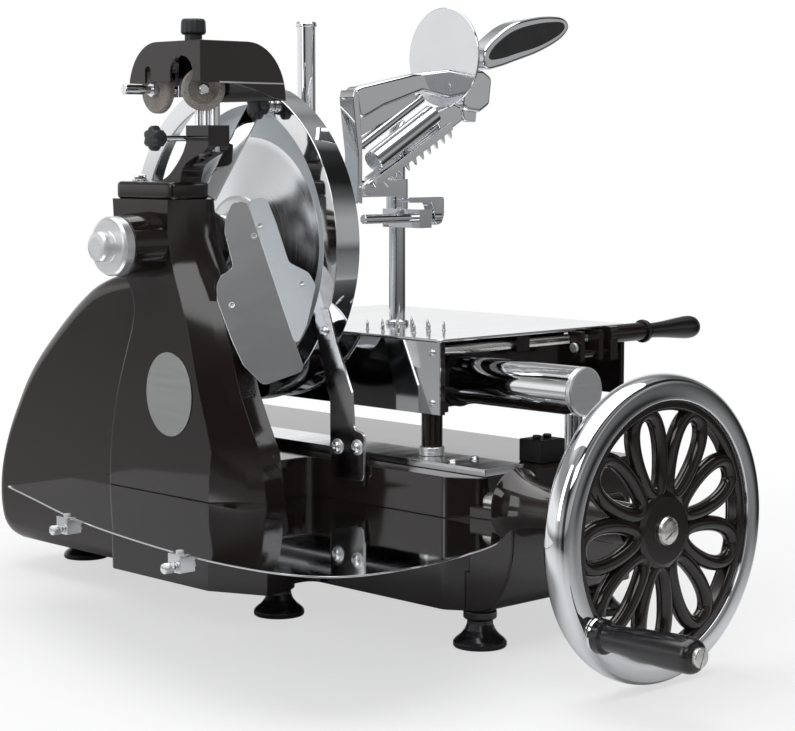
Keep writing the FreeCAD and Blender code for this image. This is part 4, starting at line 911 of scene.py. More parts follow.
def make_column(edge, steps):
    """The front block with its angled corner, the soft ridge, the lobe, housing and boss."""
    low, _ = reach("column_casting")
    bottom, face, right = low.z, -147.0, -92.0
    front = ((48, -43, 8), (9, -48, 14), (-27, -67, 24), (-57, -81, 26), (-86, -94, 28),
             (-120, -105, 30), (-153, -117, 33), (-182, -132, 38), (-211, -148, 45),
             (-240, -153, 55), (-265, -157, 60), (bottom, -157, 62))
    ridge = ((bottom, 96, 28), (-300, 98, 28), (-262, 100, 28), (-230, 98, 28), (-200, 94, 28),
             (-176, 88, 28), (-155, 82, 28), (-132, 73, 28), (-112, 64, 27), (-90, 54, 26),
             (-72, 48, 24), (-56, 45, 19), (-44, 46, 13), (-32, 52, 8), (-20, 61, 4), (48, 62, 0))
    rolls, roll_depth, facet_depth = 12, 20, 29
    rings = []
    for k in range(rolls + 1):
        x = face + roll_depth * ease(k / rolls)
        rings.append([(x, y + facet * (1 - (x - face) / facet_depth), z) for z, y, facet in front]
                     + [(x, y - roll * (1 - k / rolls), z) for z, y, roll in ridge])
    for x in (-118.0, right):
        rings.append([(x, y, z) for z, y, _ in (*front, *ridge)])
    block = put("column_block", add_skin(bmesh.new(), rings), "frame", "enamel",
                ("column_casting",))
    soften(block, 1.5 * edge, 4, 40)
    outline = curved(((62, -31), (100, -38), (135, -50), (165, -68), (192, -88), (215, -107),
                      (238, -127), (257, -146), (275, -168), (290, -191), (306, -217),
                      (319, -244), (328, -270), (332, -296), (331, -320), (324, -341),
                      (309, -353), (290, bottom)), 3, False) + [(0, bottom), (0, -31)]
    lobe_face, lobe_depth, lobe_inset, lobe_rolls = -127, 17, 19, 8
    rings = []
    for k in range(lobe_rolls + 1):
        a = math.radians(90 * k / lobe_rolls)
        rings.append([(lobe_face + lobe_depth * (1 - math.cos(a)), y, z)
                      for y, z in inset(outline, lobe_inset * (1 - math.sin(a)))])
    rings.append([(right, y, z) for y, z in outline])
    flatten(put("column_lobe", add_skin(bmesh.new(), rings), "frame", "enamel", ()))
    # A thin dark strip, a millimetre high, laid across the front of the block just above its foot
    # to draw a dark line there
    put("column_seam", add_block(bmesh.new(), (-118, -157.35, -268.6), (-92.5, -157.0, -267.6)),
        "frame", "iron", ())
    for name, profile, x in (
            ("shaft_housing", ((26, 0), (31.8, 0), (33.5, 12), (36, 46), (26, 46)), low.x),
            ("blade_side_boss", ((26, 0), (34, 0), (34, 32), (26, 32)), right - 2)):
        lathe(name, profile, at(x, 0, 0), X_AXIS, "frame", "enamel", (), steps, 1.6)


def make_base(edge):
    """The bed, the link to the column, the boat-shaped front and the shaft snout."""
    low, high = reach("base_casting")
    bottom, top = low.z, high.z
    bed = rounded(((-33, -328), (-11, -360), (225, -360), (225, 345), (-92, 345), (-92, -130),
                   (-33, -130)), 16, 5)
    outer = scratch("bed", add_prism(bmesh.new(), across_z(bed, bottom),
                                     Z_AXIS * ((top - bottom) * MM)))
    room = [(-26, -321), (-7, -353), (218, -353), (218, 338), (-85, 338), (-85, -123), (-26, -123)]
    hollow = scratch("bed_hollow", add_prism(bmesh.new(), across_z(room, bottom - 5),
                                             Z_AXIS * ((top - bottom - 2) * MM)))
    soften(carved(outer, [hollow], "bed_finished", "frame", "enamel", ("base_casting",)),
           1.6 * edge, 4, 40)
    hull = curved(((-352, bottom), (-374, -353), (-392, -340), (-404, -320), (-410, -298),
                   (-412, -275), (-411, -258), (-404, -250)), 3, False) + [(-352, -250)]
    prism("bed_front", across_x(hull, -22), X_AXIS * (172 * MM), "frame", "enamel", (),
          2.4 * edge, 5)
    flare = curved(((20, 0), (20.6, 30), (21.6, 70), (23, 100), (26, 122), (31, 138), (38, 148)),
                   4, False)
    lathe("shaft_snout", [(10.5, 0)] + flare + [(10.5, 148)], at(0, low.y, WHEEL_Z), Y_AXIS,
          "frame", "enamel", (), 96, 1.5)
    legs = bmesh.new()
    for x, y in FRONT_FEET:
        add_lathe(legs, rounded_profile(solid_profile(((17, 0), (17, 40))), 1.5),
                  at(x, y, bottom + 0.5), Z_AXIS, 48)
    flatten(put("foot_legs", legs, "frame", "enamel", ()))


def make_neck():
    """The swan neck: a flat foot bolted to the head and an arm that leans forward."""
    foot_top, arm_top = 55, 125
    back = curved(((-2, 66), (-18, 72), (-32, 83), (-44, 96), (-50, 107)), 4, False)
    front = curved(((-87, 104), (-80, 98), (-66, 93), (-52, 87), (-44, 80), (-40, 70)), 4, False)
    points = ([(-2, foot_top)] + back + [(-50, arm_top), (-87, arm_top)] + front
              + [(-38, foot_top)])
    arm = scratch("neck", add_prism(bmesh.new(), across_x(points, -134), X_AXIS * (28 * MM)))
    bores = bmesh.new()
    for y in (-81, -68, -55):
        add_lathe(bores, solid_profile(((5.4, 0), (5.4, 70))), at(-120, y, 80), Z_AXIS, 32)
    tool = scratch("rod_bores", bores)
    soften(carved(arm, [tool], "swan_neck", "frame", "enamel", ("neck_arm",)), 3.0, 4)
    foot = rounded(((-146, -42), (-93, -42), (-93, 61), (-146, 61)), 12, 6)
    prism("neck_foot", across_z(foot, 47.6), Z_AXIS * (18.8 * MM), "frame", "enamel", (),
          4.5, 4)


def make_feet():
    """Flared feet with a rubber-like rim, each on a threaded neck."""
    low, high = reach("feet")
    profile = solid_profile(((26.0, 0), (27.0, 1.5), (27.0, 5.5), (25.0, 8.0), (19.5, 12.5),
                             (15.5, 17.5), (13.2, 23.0), (12.8, 27.5), (15.5, 28.5), (16.8, 30.0),
                             (16.8, high.z - low.z)))
    bm = bmesh.new()
    for x, y in ((-57, -104), *FRONT_FEET, (-20, 300), (199, 315)):
        add_lathe(bm, rounded_profile(profile, 1.2), at(x, y, low.z), Z_AXIS, 72)
    flatten(put("levelling_feet", bm, "frame", "bakelite", ("feet",)))


# Sharpener

class SLICER_OT_sharpener(bpy.types.Operator):
    """Sharpener hood, its rods, stones and knobs"""
    bl_idname = "slicer.sharpener"
    bl_label = "Sharpener"

    def execute(self, context):
        make_hood()
        refined("sharpener_rods", "chrome", 0.5, 2)
        make_stones()
        make_top_knob()
        hub, end = middle("lock_knob"), reach("lock_knob")[1].x
        lobed_knob("lock_knob_head", at(-174, hub.y, hub.z), -X_AXIS, 13.0, 18.0, 6, 0.2,
                   "lock_knob", ("lock_knob",), "knob")
        stud("lock_knob_stud", at(-175, hub.y, hub.z), X_AXIS, 3.0, end + 175, "lock_knob")
        y, z = GUARD_KNOB
        end = reach("guard_knob")[1].x
        lobed_knob("guard_knob_head", at(-44, y, z), -X_AXIS, 14.5, 17.5, 6, 0.25, "guard_knob",
                   ("guard_knob",), "knob")
        lathe("guard_knob_collar", ((3, 0), (7, 0), (7, 2.6), (5.4, 3.2), (5.4, 4.6), (7, 5.2),
                                    (7, 7.6), (3, 7.6)), at(-44, y, z), X_AXIS, "guard_knob",
              "chrome", (), 48, 0.4)
        stud("guard_knob_stud", at(-45, y, z), X_AXIS, 3.0, end + 45, "guard_knob")
        return {"FINISHED"}


def make_stones():
    """The grinding wheel on its long spindle and the honing wheel turned towards the blade."""
    left, hub = reach("grinding_stone")[0].x, middle("grinding_stone")
    stone = ((4.05, 0), (22.5, 0), (24, 1.5), (24, 6.5), (22.5, 8), (9, 8), (9, 6.6), (4.05, 6.6))
    lathe("grinding_wheel", stone, at(left, hub.y, hub.z), X_AXIS, "grinding_stone", "stone",
          ("grinding_stone",), 96, 0.4)
    axis = Vector((-0.5, -math.sqrt(0.75), 0))
    centre = at(-152, -101, 161)
    hone = ((4.05, 0), (20.5, 0), (22, 1.5), (22, 7), (21, 8), (15.5, 8), (14, 2.6), (4.05, 2.6))
    lathe("honing_wheel", hone, centre, axis, "honing_stone", "stone", ("honing_stone",),
          96, 0.4)
    lathe("spindle_end", solid_profile(((4.2, 0), (5, 0.8), (5, 24), (4, 24), (4, 34))),
          at(-204, hub.y, hub.z), X_AXIS, "grinding_stone", "chrome", (), 48, 0.4)
    lathe("spindle_nut", solid_profile(((7, 0), (7.6, 0.6), (7.6, 5), (6, 5.6))),
          at(left - 6, hub.y, hub.z), X_AXIS, "grinding_stone", "chrome", (), 6, 0.1)
    lathe("honing_nut", solid_profile(((6.4, 0), (6.4, 4), (5, 4.8))), centre + axis * 2.8 * MM,
          axis, "honing_stone", "chrome", (), 6, 0.1)


def stud(name, place, axis, radius, length, body):
    """A bright threaded stud: fine rings for the thread and a rounded end."""
    pitch, thread_depth = 1.25, 0.35
    profile = [(0.0, 0.0), (radius, 0.0)]
    for i in range(int((length - 2) / pitch)):
        base = 1.0 + i * pitch
        profile += [(radius, base), (radius - thread_depth, base + pitch / 2)]
    profile += [(radius, length - 0.8), (radius - 0.8, length), (0.0, length)]
    bm = add_lathe(bmesh.new(), profile, place, axis, 32)
    return flatten(put(name, bm, body, "chrome", ()))


def make_hood():
    """A thin dark shell, rounded at the back and at the blade end, arched for the stones."""
    low, high = reach("sharpener_hood")
    left, right, front, back = low.x, high.x, low.y, high.y
    bottom, top, wall = 150.0, high.z, 3.2

    def shell_part(shrink):
        side = [(left + shrink, bottom - 9), (left + shrink, top - shrink)]
        side += arc_points(right - 50, top - 56, 50 - shrink, 56 - shrink)
        side += [(right - shrink, bottom - 9)]
        end = [(front + shrink, bottom - 9), (front + shrink, top - shrink)]
        end += arc_points(back - 46, top - 50, 46 - shrink, 50 - shrink)
        end += [(back - shrink, bottom - 9)]
        one = scratch("hood_side", add_prism(bmesh.new(), across_y(side, front - 5 + 2 * shrink),
                                             Y_AXIS * ((back - front + 10) * MM)))
        two = scratch("hood_end", add_prism(bmesh.new(), across_x(end, left - 5),
                                            X_AXIS * ((right - left + 10) * MM)))
        return cut(one, two, "INTERSECT"), two

    shell, shell_end = shell_part(0)
    hollow, hollow_end = shell_part(wall)
    skirt = [(left - 9, bottom - 20), (left - 9, 168), (-132, 167), (-110, 162), (-84, 154),
             (-60, 149), (right + 9, 149), (right + 9, bottom - 20)]
    arch = opening(-97.0, 18.0, 176.0, bottom)
    slit = opening(-41.5, 4.5, 180.0, bottom)
    shapes = [(across_y(skirt, front - 9), Y_AXIS * ((back - front + 18) * MM)),
              (across_x(arch, left - 6), X_AXIS * (14 * MM)),
              (across_x(slit, left - 6), X_AXIS * (14 * MM))]
    tools = [hollow] + [scratch("hood_opening", add_prism(bmesh.new(), outline, depth))
                        for outline, depth in shapes]
    piece = carved(shell, tools, "hood_shell", "sharpener", "enamel", ("sharpener_hood",))
    for end in (shell_end, hollow_end):
        bpy.data.objects.remove(end)
    soften(piece, 1.6, 4, 30)
    block = add_block(bmesh.new(), (-140, -90, 172), (-100, -46, top - wall))
    soften(put("hood_block", block, "sharpener", "iron", ()), 1.5)
    strip = add_block(bmesh.new(), (-152, front - 0.8, 166.6), (right - 3, front + 0.4, 168.4))
    soften(put("hood_bright_line", strip, "sharpener", "chrome", ()), 0.3, 2)
    lathe("hood_oiler", solid_profile(((5, 0), (5, 6), (6.4, 6.6), (6.4, 10), (4.5, 11.5))),
          at(right - 17, -70, top - 14), Vector((0.65, 0, 0.76)), "sharpener", "chrome", (),
          40, 0.5)


def opening(y, radius, spring, bottom):
    """A round-headed opening in the hood's side, as (y, z) points."""
    turns = [math.radians(degrees) for degrees in range(0, 181, 12)]
    return ([(y + radius, bottom - 9)]
            + [(y + radius * math.cos(a), spring + radius * math.sin(a)) for a in turns]
            + [(y - radius, bottom - 9)])


def arc_points(centre_a, centre_b, radius_a, radius_b):
    """Points of a quarter ellipse from the top round to the side."""
    turns = [math.radians(90 - 7.5 * k) for k in range(13)]
    return [(centre_a + radius_a * math.cos(a), centre_b + radius_b * math.sin(a)) for a in turns]


def make_top_knob():
    """A fluted knob on a plain neck."""
    low, high = reach("top_knob")
    centre = middle("top_knob")
    flutes, radius, height = 14, (high.x - low.x) / 2, high.z - low.z
    foot = at(centre.x, centre.y, low.z)

    def fluted(r, angle):
        deep = 0.05 if r > 0.85 * radius else 0
        return r * (1 - deep * (0.5 + 0.5 * math.cos(flutes * angle)))

    profile = [(radius * share, z) for share, z in (
        (0, 8), (0.86, 8), (0.97, 9.5), (1.0, 11), (0.97, height - 3), (0.90, height - 1),
        (0.8, height), (0, height))]
    bm = add_lathe(bmesh.new(), profile, foot, Z_AXIS, flutes * 6, fluted)
    add_lathe(bm, rounded_profile(solid_profile(((9, 0), (9, 8.5))), 0.6), foot, Z_AXIS, 48)
    flatten(put("top_knob_head", bm, "top_knob", "knob", ("top_knob",)))


# Blade group

class SLICER_OT_blade(bpy.types.Operator):
    """Blade, hub, bearing cap and the parts on the blade shaft"""
    bl_idname = "slicer.blade"
    bl_label = "Blade"

    def execute(self, context):
        steps = settings()[1].turning_steps
        origin = at(0, 0, 0)
        back, wall = -22, 3.5
        dish = ((15, back), (50, back), (105, -7.5), (114.2, -6.2), (114.2, -3.5), (105, -4.0),
                (50, back + wall), (15, back + wall))
        lathe("blade_dish", dish, origin, X_AXIS, "blade_unit", "blade", ("blade",),
              steps, 0.8)
        bevel = ((114, -6.6), (138, -5.0), (149.4, -0.9), (150, -0.3), (149.6, -0.05), (138, -0.8),
                 (124, -2.4), (114, -3.2))
        lathe("blade_bevel", bevel, origin, X_AXIS, "blade_unit", "bevel", (), steps, 0.3)
        hub = ((12, -22), (50, -22), (50, -25.5), (46, -27.5), (33, -31), (30, -33), (30, -50),
               (28.5, -52), (12, -52))
        lathe("blade_hub_turned", hub, origin, X_AXIS, "blade_unit", "cap", ("blade_hub",),
              steps, 0.8)
        scatter("hub_cap_screws", socket_screw, circle_spots(back + wall, 40, 45, 4, X_AXIS),
                "blade_unit", "chrome", ("hub_screws",), 5.2)
        scatter("hub_back_screws", socket_screw, circle_spots(-25.8, 42, 15, 6, -X_AXIS),
                "blade_unit", "chrome", (), 3.4)
        cap = solid_profile(((31, 0), (31, -10), (29.5, -13), (27, -14), (16.5, -14), (16, -15),
                             (16, -25), (14.5, -28), (10, -29)))
        lathe("bearing_cap_turned", cap, at(reach("bearing_cap")[1].x, 0, 0), X_AXIS, "frame",
              "cap", ("bearing_cap",), steps, 0.8)
        for finish, nodes in REPAINTED.items():
            for node in nodes:
                repaint(node, finish)
        return {"FINISHED"}


# Finish of the CAD nodes that keep their shape
REPAINTED = {
    "turned": ("blade_shaft", "blade_bearings", "cross_shaft", "wheel_shaft", "feed_screw"),
    "iron": ("blade_sprocket", "cross_gear", "cross_sprocket", "drive_chain", "drive_gear",
             "carriage_bushes"),
    "bronze": ("wheel_bushes",),
}


def circle_spots(x, radius, first, count, facing):
    """Evenly spaced (place, facing) spots on a circle about the blade's axis."""
    turns = [math.radians(first + 360 * i / count) for i in range(count)]
    return [(at(x, radius * math.cos(a), radius * math.sin(a)), facing) for a in turns]


def repaint(node, finish):
    """Give a CAD node that keeps its shape a better finish."""
    mesh = frame["nodes"][node].data
    mesh.materials.clear()
    mesh.materials.append(finishes[finish])


# Guard

class SLICER_OT_guard(bpy.types.Operator):
    """Guard ring, strap, stay and deflector plates"""
    bl_idname = "slicer.guard"
    bl_label = "Guard"

    def execute(self, context):
        _, sizes, _ = settings()
        ring = ((172, -4), (175, -4), (175, -36), (153.5, -36), (153.5, -33.5), (172, -33.5))
        lathe("guard_band", ring, at(0, 0, 0), X_AXIS, "frame", "chrome", ("guard_ring",),
              sizes.turning_steps, 1.0)
        boss = ((3.05, 0), (10.6, 0), (11, 0.6), (11, 28.5), (10.2, 29.4), (3.05, 29.4))
        lathe("guard_clamp_boss", boss, at(-33.5, *GUARD_KNOB), X_AXIS, "frame", "chrome", (),
              64, 0.5)
        make_strap(sizes.sheet_edge)
        make_stay()
        make_deflector(sizes.sheet_edge)
        scatter("neck_bolt", hex_bolt, [(at(-133, 30, 66.7), Z_AXIS)], "frame", "chrome", (),
                7.5)
        return {"FINISHED"}


def make_deflector(edge):
    """Two thin polished plates with soft corners that keep slices off the column."""
    wing = ((-66, -60, 47), (-80, -53, 44), (-90, -54, 28), (-95, -58, 16), (-97, -75, -23),
            (-110, -71, -30), (-117, -72, -40), (-121, -77, -56), (-119, -98, -96),
            (-116, -113, -121), (-103, -130, -142), (-62, -148, -128))
    chute = ((-66, -60, 47), (-46, -67, 51), (-44, -81, 24), (-44, -102, -18), (-27, -114, -29),
             (-24, -122, -42), (-46, -132, -83), (-64, -136, -105))
    spots = []
    for name, points, normal, lift, finish, nodes, screws in (
            ("deflector_wing", wing, Vector((-0.47, -0.79, 0.39)), -5.5, "sheet",
             ("deflector_plates",), ((-70, -77, 10), (-108, -85, -62))),
            ("deflector_chute", chute, Vector((-0.36, -0.84, 0.41)), -6.4, "bevel", (),
             ((-60, -71, 18), (-38, -115, -40)))):
        normal.normalize()
        centre = sum((Vector(p) for p in points), Vector()) / len(points)

        def onto_plate(point):
            return Vector(point) - normal * (Vector(point) - centre).dot(normal)

        outline = [at(p.x, p.y + lift, p.z) for p in rounded(map(onto_plate, points), 9, 5)]
        prism(name, outline, normal * (-2 * MM), "frame", finish, nodes, edge, 2)
        for place in map(onto_plate, screws):
            spots.append((at(place.x, place.y + lift, place.z), normal))
    scatter("deflector_screws", slotted_screw, spots, "frame", "cap", (), 3.2)


def make_stay():
    """The square bar from the column's head to the clamp boss, turned flat to the viewer."""
    start, end = at(-95, -38, 50), at(-45, -58, 147)
    towards_scene = Vector((0.688, 0.719, -0.103))
    along = (end - start).normalized()
    across = along.cross(towards_scene).normalized()
    deep = along.cross(across).normalized()
    corners = [start + across * (a * 8.5 * MM) + deep * (b * 4.5 * MM) for a, b in SQUARE]
    prism("guard_stay_bar", corners, end - start, "frame", "chrome", ("guard_stay",),
          1.6, 3)


def make_strap(edge):
    """The bent strap that carries the ring: a slim upper part and a wide rounded foot."""
    low, high = reach("guard_strap")
    flat = rounded(((-166, -240), (-166, -160), (-150, -112), (-143, -76), (-147, -64),
                    (-163, -64), (-176, -100), (-200, -150), (-202, -184), (-206, -188),
                    (-218, -190), (-218, -240)), 9, 5)
    prism("guard_strap_plate", across_x(flat, low.x), X_AXIS * (2.7 * MM), "frame", "sheet",
          ("guard_strap",), edge, 2)
    spacer = add_block(bmesh.new(), (low.x + 2.6, -216, low.z), (high.x, -176, -224))
    soften(put("guard_strap_spacer", spacer, "frame", "enamel", ()), 1.0)
    washer, washers = 1.2, bmesh.new()
    places = [at(low.x - washer, y, z) for y, z in ((-208, -205), (-178, -207))]
    spots = [(place, -X_AXIS) for place in (*places, at(low.x, -158, -88))]
    scatter("strap_screws", socket_screw, spots, "frame", "chrome", ("frame_screws",),
            5.5)
    for place in places:
        add_lathe(washers, ((0, 0), (7.6, 0), (8, 0.4), (8, washer), (0, washer)), place, X_AXIS,
                  40)
    flatten(put("strap_washers", washers, "frame", "cap", ()))


# Flywheel

class SLICER_OT_flywheel(bpy.types.Operator):
    """Chromed rim, petal spider, hub screw and crank handle"""
    bl_idname = "slicer.flywheel"
    bl_label = "Flywheel"

    def execute(self, context):
        _, sizes, _ = settings()
        low, high = reach("wheel_rim")
        front, depth = low.y, high.y - low.y
        round_centre, round_radius = 136.5, 7.5
        rim = [(120, 1.4), (120.4, 0.4), (121.4, 0)]
        for k in range(25):
            a = math.radians(7.5 * k - 90)
            rim.append((round_centre + round_radius * math.cos(a),
                        depth / 2 * (1 + math.sin(a))))
        rim += [(121.4, depth), (120, depth - 1.4)]
        band = add_lathe(bmesh.new(), rim, at(0, front, WHEEL_Z), Y_AXIS, 2 * sizes.turning_steps)
        put("rim_band", band, "flywheel", "chrome", ("wheel_rim",))
        make_spider(front, sizes)
        dome = ((13.6, 0), (13.6, -2), (12.4, -4.2), (9.6, -6.2), (5.5, -7.5), (2, -7.9))
        slotted("hub_dome_screw", dome, at(0, front + 2.2, WHEEL_Z), 15, 1.1, 2.4, 40,
                ("hub_screw",))
        make_crank(front)
        return {"FINISHED"}


def petal_line(y, angle):
    """Centre line of one oval petal, wider towards the rim."""
    inner, outer, half = 34.0, 112.0, 17.6
    centre, long = (inner + outer) / 2, (outer - inner) / 2
    points = []
    count = 48
    for i in range(count):
        a = 2 * math.pi * i / count
        along = centre + long * math.cos(a)
        side = half * math.copysign(abs(math.sin(a)) ** 0.82, math.sin(a))
        side *= 1 + 0.28 * math.cos(a)
        dx = along * math.cos(angle) - side * math.sin(angle)
        dz = along * math.sin(angle) + side * math.cos(angle)
        points.append(at(dx, y, WHEEL_Z + dz))
    return points


def petal_tree():
    """One closed line made a rounded band, then copied evenly round the wheel's axis."""
    tree, made = new_tree(
        "petals",
        {"Line": "Geometry", "Petal count": "Int", "Band width": "Float", "Band depth": "Float",
         "Wheel centre": "Vector", "Finish": "Material"},
        {"curve": "GeometryNodeMeshToCurve", "section": "GeometryNodeCurvePrimitiveCircle",
         "size": "ShaderNodeCombineXYZ", "shape": "GeometryNodeTransform",
         "sweep": "GeometryNodeCurveToMesh", "back": "ShaderNodeVectorMath",
         "centred": "GeometryNodeTransform", "dots": "GeometryNodePoints",
         "index": "GeometryNodeInputIndex", "share": "ShaderNodeMath",
         "angle": "ShaderNodeMath", "turn": "ShaderNodeCombineXYZ",
         "copies": "GeometryNodeInstanceOnPoints"})
    for node, operation in (("back", "SCALE"), ("share", "DIVIDE"), ("angle", "MULTIPLY")):
        made[node].operation = operation
    for node, socket, value in (("section", "Resolution", 20), ("section", "Radius", 0.5),
                                ("size", "Z", 1.0), ("back", "Scale", -1.0),
                                ("angle", 1, 2 * math.pi)):
        made[node].inputs[socket].default_value = value
    wire(tree, made, (("given", "Line", "curve", "Mesh"),
                      ("given", "Band width", "size", "X"),
                      ("given", "Band depth", "size", "Y"),
                      ("section", "Curve", "shape", "Geometry"),
                      ("size", 0, "shape", "Scale"),
                      ("curve", "Curve", "sweep", "Curve"),
                      ("shape", "Geometry", "sweep", "Profile Curve"),
                      ("given", "Wheel centre", "back", 0),
                      ("sweep", "Mesh", "centred", "Geometry"),
                      ("back", 0, "centred", "Translation"),
                      ("given", "Petal count", "dots", "Count"),
                      ("given", "Wheel centre", "dots", "Position"),
                      ("dots", 0, "copies", "Points"),
                      ("centred", "Geometry", "copies", "Instance"),
                      ("index", 0, "share", 0),
                      ("given", "Petal count", "share", 1),
                      ("share", 0, "angle", 0),
                      ("angle", 0, "turn", "Y"),
                      ("turn", 0, "copies", "Rotation")))
    return tree


def make_spider(front, sizes):
    """Petals swept as rounded bands, with a flange at the rim and a hub in the middle."""
    middle_y, first_angle, band = front + 11, math.radians(104), 15.0 * MM
    line = petal_line(middle_y, first_angle)
    mesh = bpy.data.meshes.new("petal_line")
    mesh.from_pydata(line, [(i, (i + 1) % len(line)) for i in range(len(line))], [])
    holder = grown("petal_line", mesh, petal_tree(), {
        "Petal count": sizes.petal_count, "Band width": band, "Band depth": band,
        "Wheel centre": at(0, middle_y, WHEEL_Z), "Finish": finishes["enamel"]})
    flatten(baked(holder, "spider_petals", "flywheel", "enamel", ("wheel_spider",)))
    flange = ((120.2, 3), (120.2, 19), (113, 19), (110.5, 16), (110.5, 6), (113, 3))
    lathe("spider_flange", flange, at(0, front, WHEEL_Z), Y_AXIS, "flywheel", "enamel", (),
          sizes.turning_steps, 2.2)
    hub = ((9, 2), (31, 2), (36, 4.5), (38, 8), (37, 15), (28, 18), (25, 20), (25, 29), (23, 30),
           (9, 30))
    lathe("spider_hub", hub, at(0, front, WHEEL_Z), Y_AXIS, "flywheel", "enamel", (), 96,
          1.6)


def make_crank(front):
    """Turned crank grip, its pin, the bright end screw and the collar at the rim."""
    low, high = reach("crank_grip")
    centre, length = middle("crank_grip"), high.y - low.y
    x, z = centre.x, centre.z
    line = curved(((9.5, 0), (13.6, 1.6), (15.8, 6), (16.2, 14), (16.0, 30), (14.9, 52),
                   (13.4, 74), (12.2, 92), (12.4, 99)), 5, False)
    grip = [(5.05, 0)] + line + [(15.6, 101.5), (16, 104), (16, 109), (14.8, length),
                                 (5.05, length)]
    lathe("crank_grip_turned", grip, at(x, low.y, z), Y_AXIS, "crank_handle", "bakelite",
          ("crank_grip",), 96, 0.5)
    head = reach("crank_pin")[0].y
    slotted("crank_pin_head", ((9, 0), (9, -3.8), (8.2, -4.8), (2, -5.1)), at(x, head + 5.4, z),
            10, 0.8, 1.6, 70, ("crank_pin",))
    lathe("crank_boss", ((5.05, 0), (16.5, 0), (17, 0.8), (15, 4.5), (13.2, 6), (5.05, 6)),
          at(x, front - 0.5, z), -Y_AXIS, "flywheel", "chrome", (), 72, 0.6)
    pin = solid_profile(((5, 0), (5, 144)))
    lathe("crank_pin_shaft", pin, at(x, head + 1.5, z), Y_AXIS, "flywheel", "chrome", (),
          48, 0.3)


def slotted(name, profile, place, reach_out, half, depth, degrees, nodes):
    """A turned screw head facing the operator, with a screwdriver slot cut into it."""
    profile = solid_profile(profile)
    head = scratch(name, add_lathe(bmesh.new(), rounded_profile(profile, 0.4), place, Y_AXIS, 96))
    along = Vector((math.cos(math.radians(degrees)), 0, math.sin(math.radians(degrees))))
    across = Vector((-along.z, 0, along.x))
    front = place + Y_AXIS * ((profile[-1][1] - 1) * MM)
    corners = [front + MM * (along * a * reach_out + across * b * half) for a, b in SQUARE]
    tool = scratch("slot", add_prism(bmesh.new(), corners, Y_AXIS * ((depth + 1) * MM)))
    soften(carved(head, [tool], name, "flywheel", "turned", nodes), 0.3, 2, 40)


# Slide, rail and carriage

class SLICER_OT_carriage(bpy.types.Operator):
    """Slide tube, its supports, the rail and the carriage"""
    bl_idname = "slicer.carriage"
    bl_label = "Carriage"

    def execute(self, context):
        _, sizes, _ = settings()
        low, high = reach("slide_tube")
        centre, length = middle("slide_tube"), high.y - low.y
        end = at(centre.x, low.y, centre.z)
        lathe("slide_tube_polished", ((21, 6.2), (25, 6.2), (25, length), (21, length)), end,
              Y_AXIS, "frame", "chrome", ("slide_tube",), sizes.turning_steps, 0.5)
        cap = solid_profile(((23.2, 0), (24.9, 1.4), (24.9, 6.1), (20.8, 6.3), (20.8, 16)))
        lathe("slide_tube_cap", cap, end, Y_AXIS, "frame", "cap", (),
              sizes.turning_steps, 0.6)
        lathe("front_post", solid_profile(((9.05, 0), (9.05, 86))), at(centre.x, -392, -250),
              Z_AXIS, "frame", "chrome", (), 64, 0.4)
        for node, finish, edge, segments, slot in (
                ("tube_supports", "enamel", 1.6, 3, "paint"),
                ("guide_rail", "sheet", 0.8, 2, "steel"),
                ("stop_block", "iron", 1.2, 2, "steel"),
                ("carriage_body", "enamel", 1.0, 2, "paint"),
                ("carriage_panel", "mirror", sizes.sheet_edge, 2, "steel")):
            refined(node, finish, edge, segments)
        make_roller()
        left = reach("carriage_panel")[0].x
        spots = [(at(left, y, z), -X_AXIS) for y, z in ((-268, -106), (-268, -158), (-90, -132),
                                                        (96, -106), (96, -158))]
        scatter("panel_screws", socket_screw, spots, "carriage", "chrome", (),
                sizes.screw_radius)
        spots = [(at(x, y, -215.05), Z_AXIS) for x in (8, 40) for y in (-300, -120, 60, 240)]
        scatter("rail_screws", socket_screw, spots, "frame", "chrome", (), 4.5)
        return {"FINISHED"}


def make_roller():
    """The dark post under the carriage and the bright ring that runs along the rail."""
    low, high = reach("guide_roller")
    centre = middle("guide_roller")
    foot = at(centre.x, centre.y, low.z)
    lathe("roller_post", solid_profile(((11, 9.4), (11, high.z - low.z))), foot, Z_AXIS,
          "carriage", "enamel", ("guide_roller",), 64, 1.0)
    lathe("roller_ring", ((5.05, 0), (12.2, 0), (13, 0.8), (13, 4), (12.4, 4.4), (13, 4.8),
                          (13, 8.2), (12.2, 9), (5.05, 9)), foot, Z_AXIS, "carriage", "cap", (),
          72, 0.3)


# Table

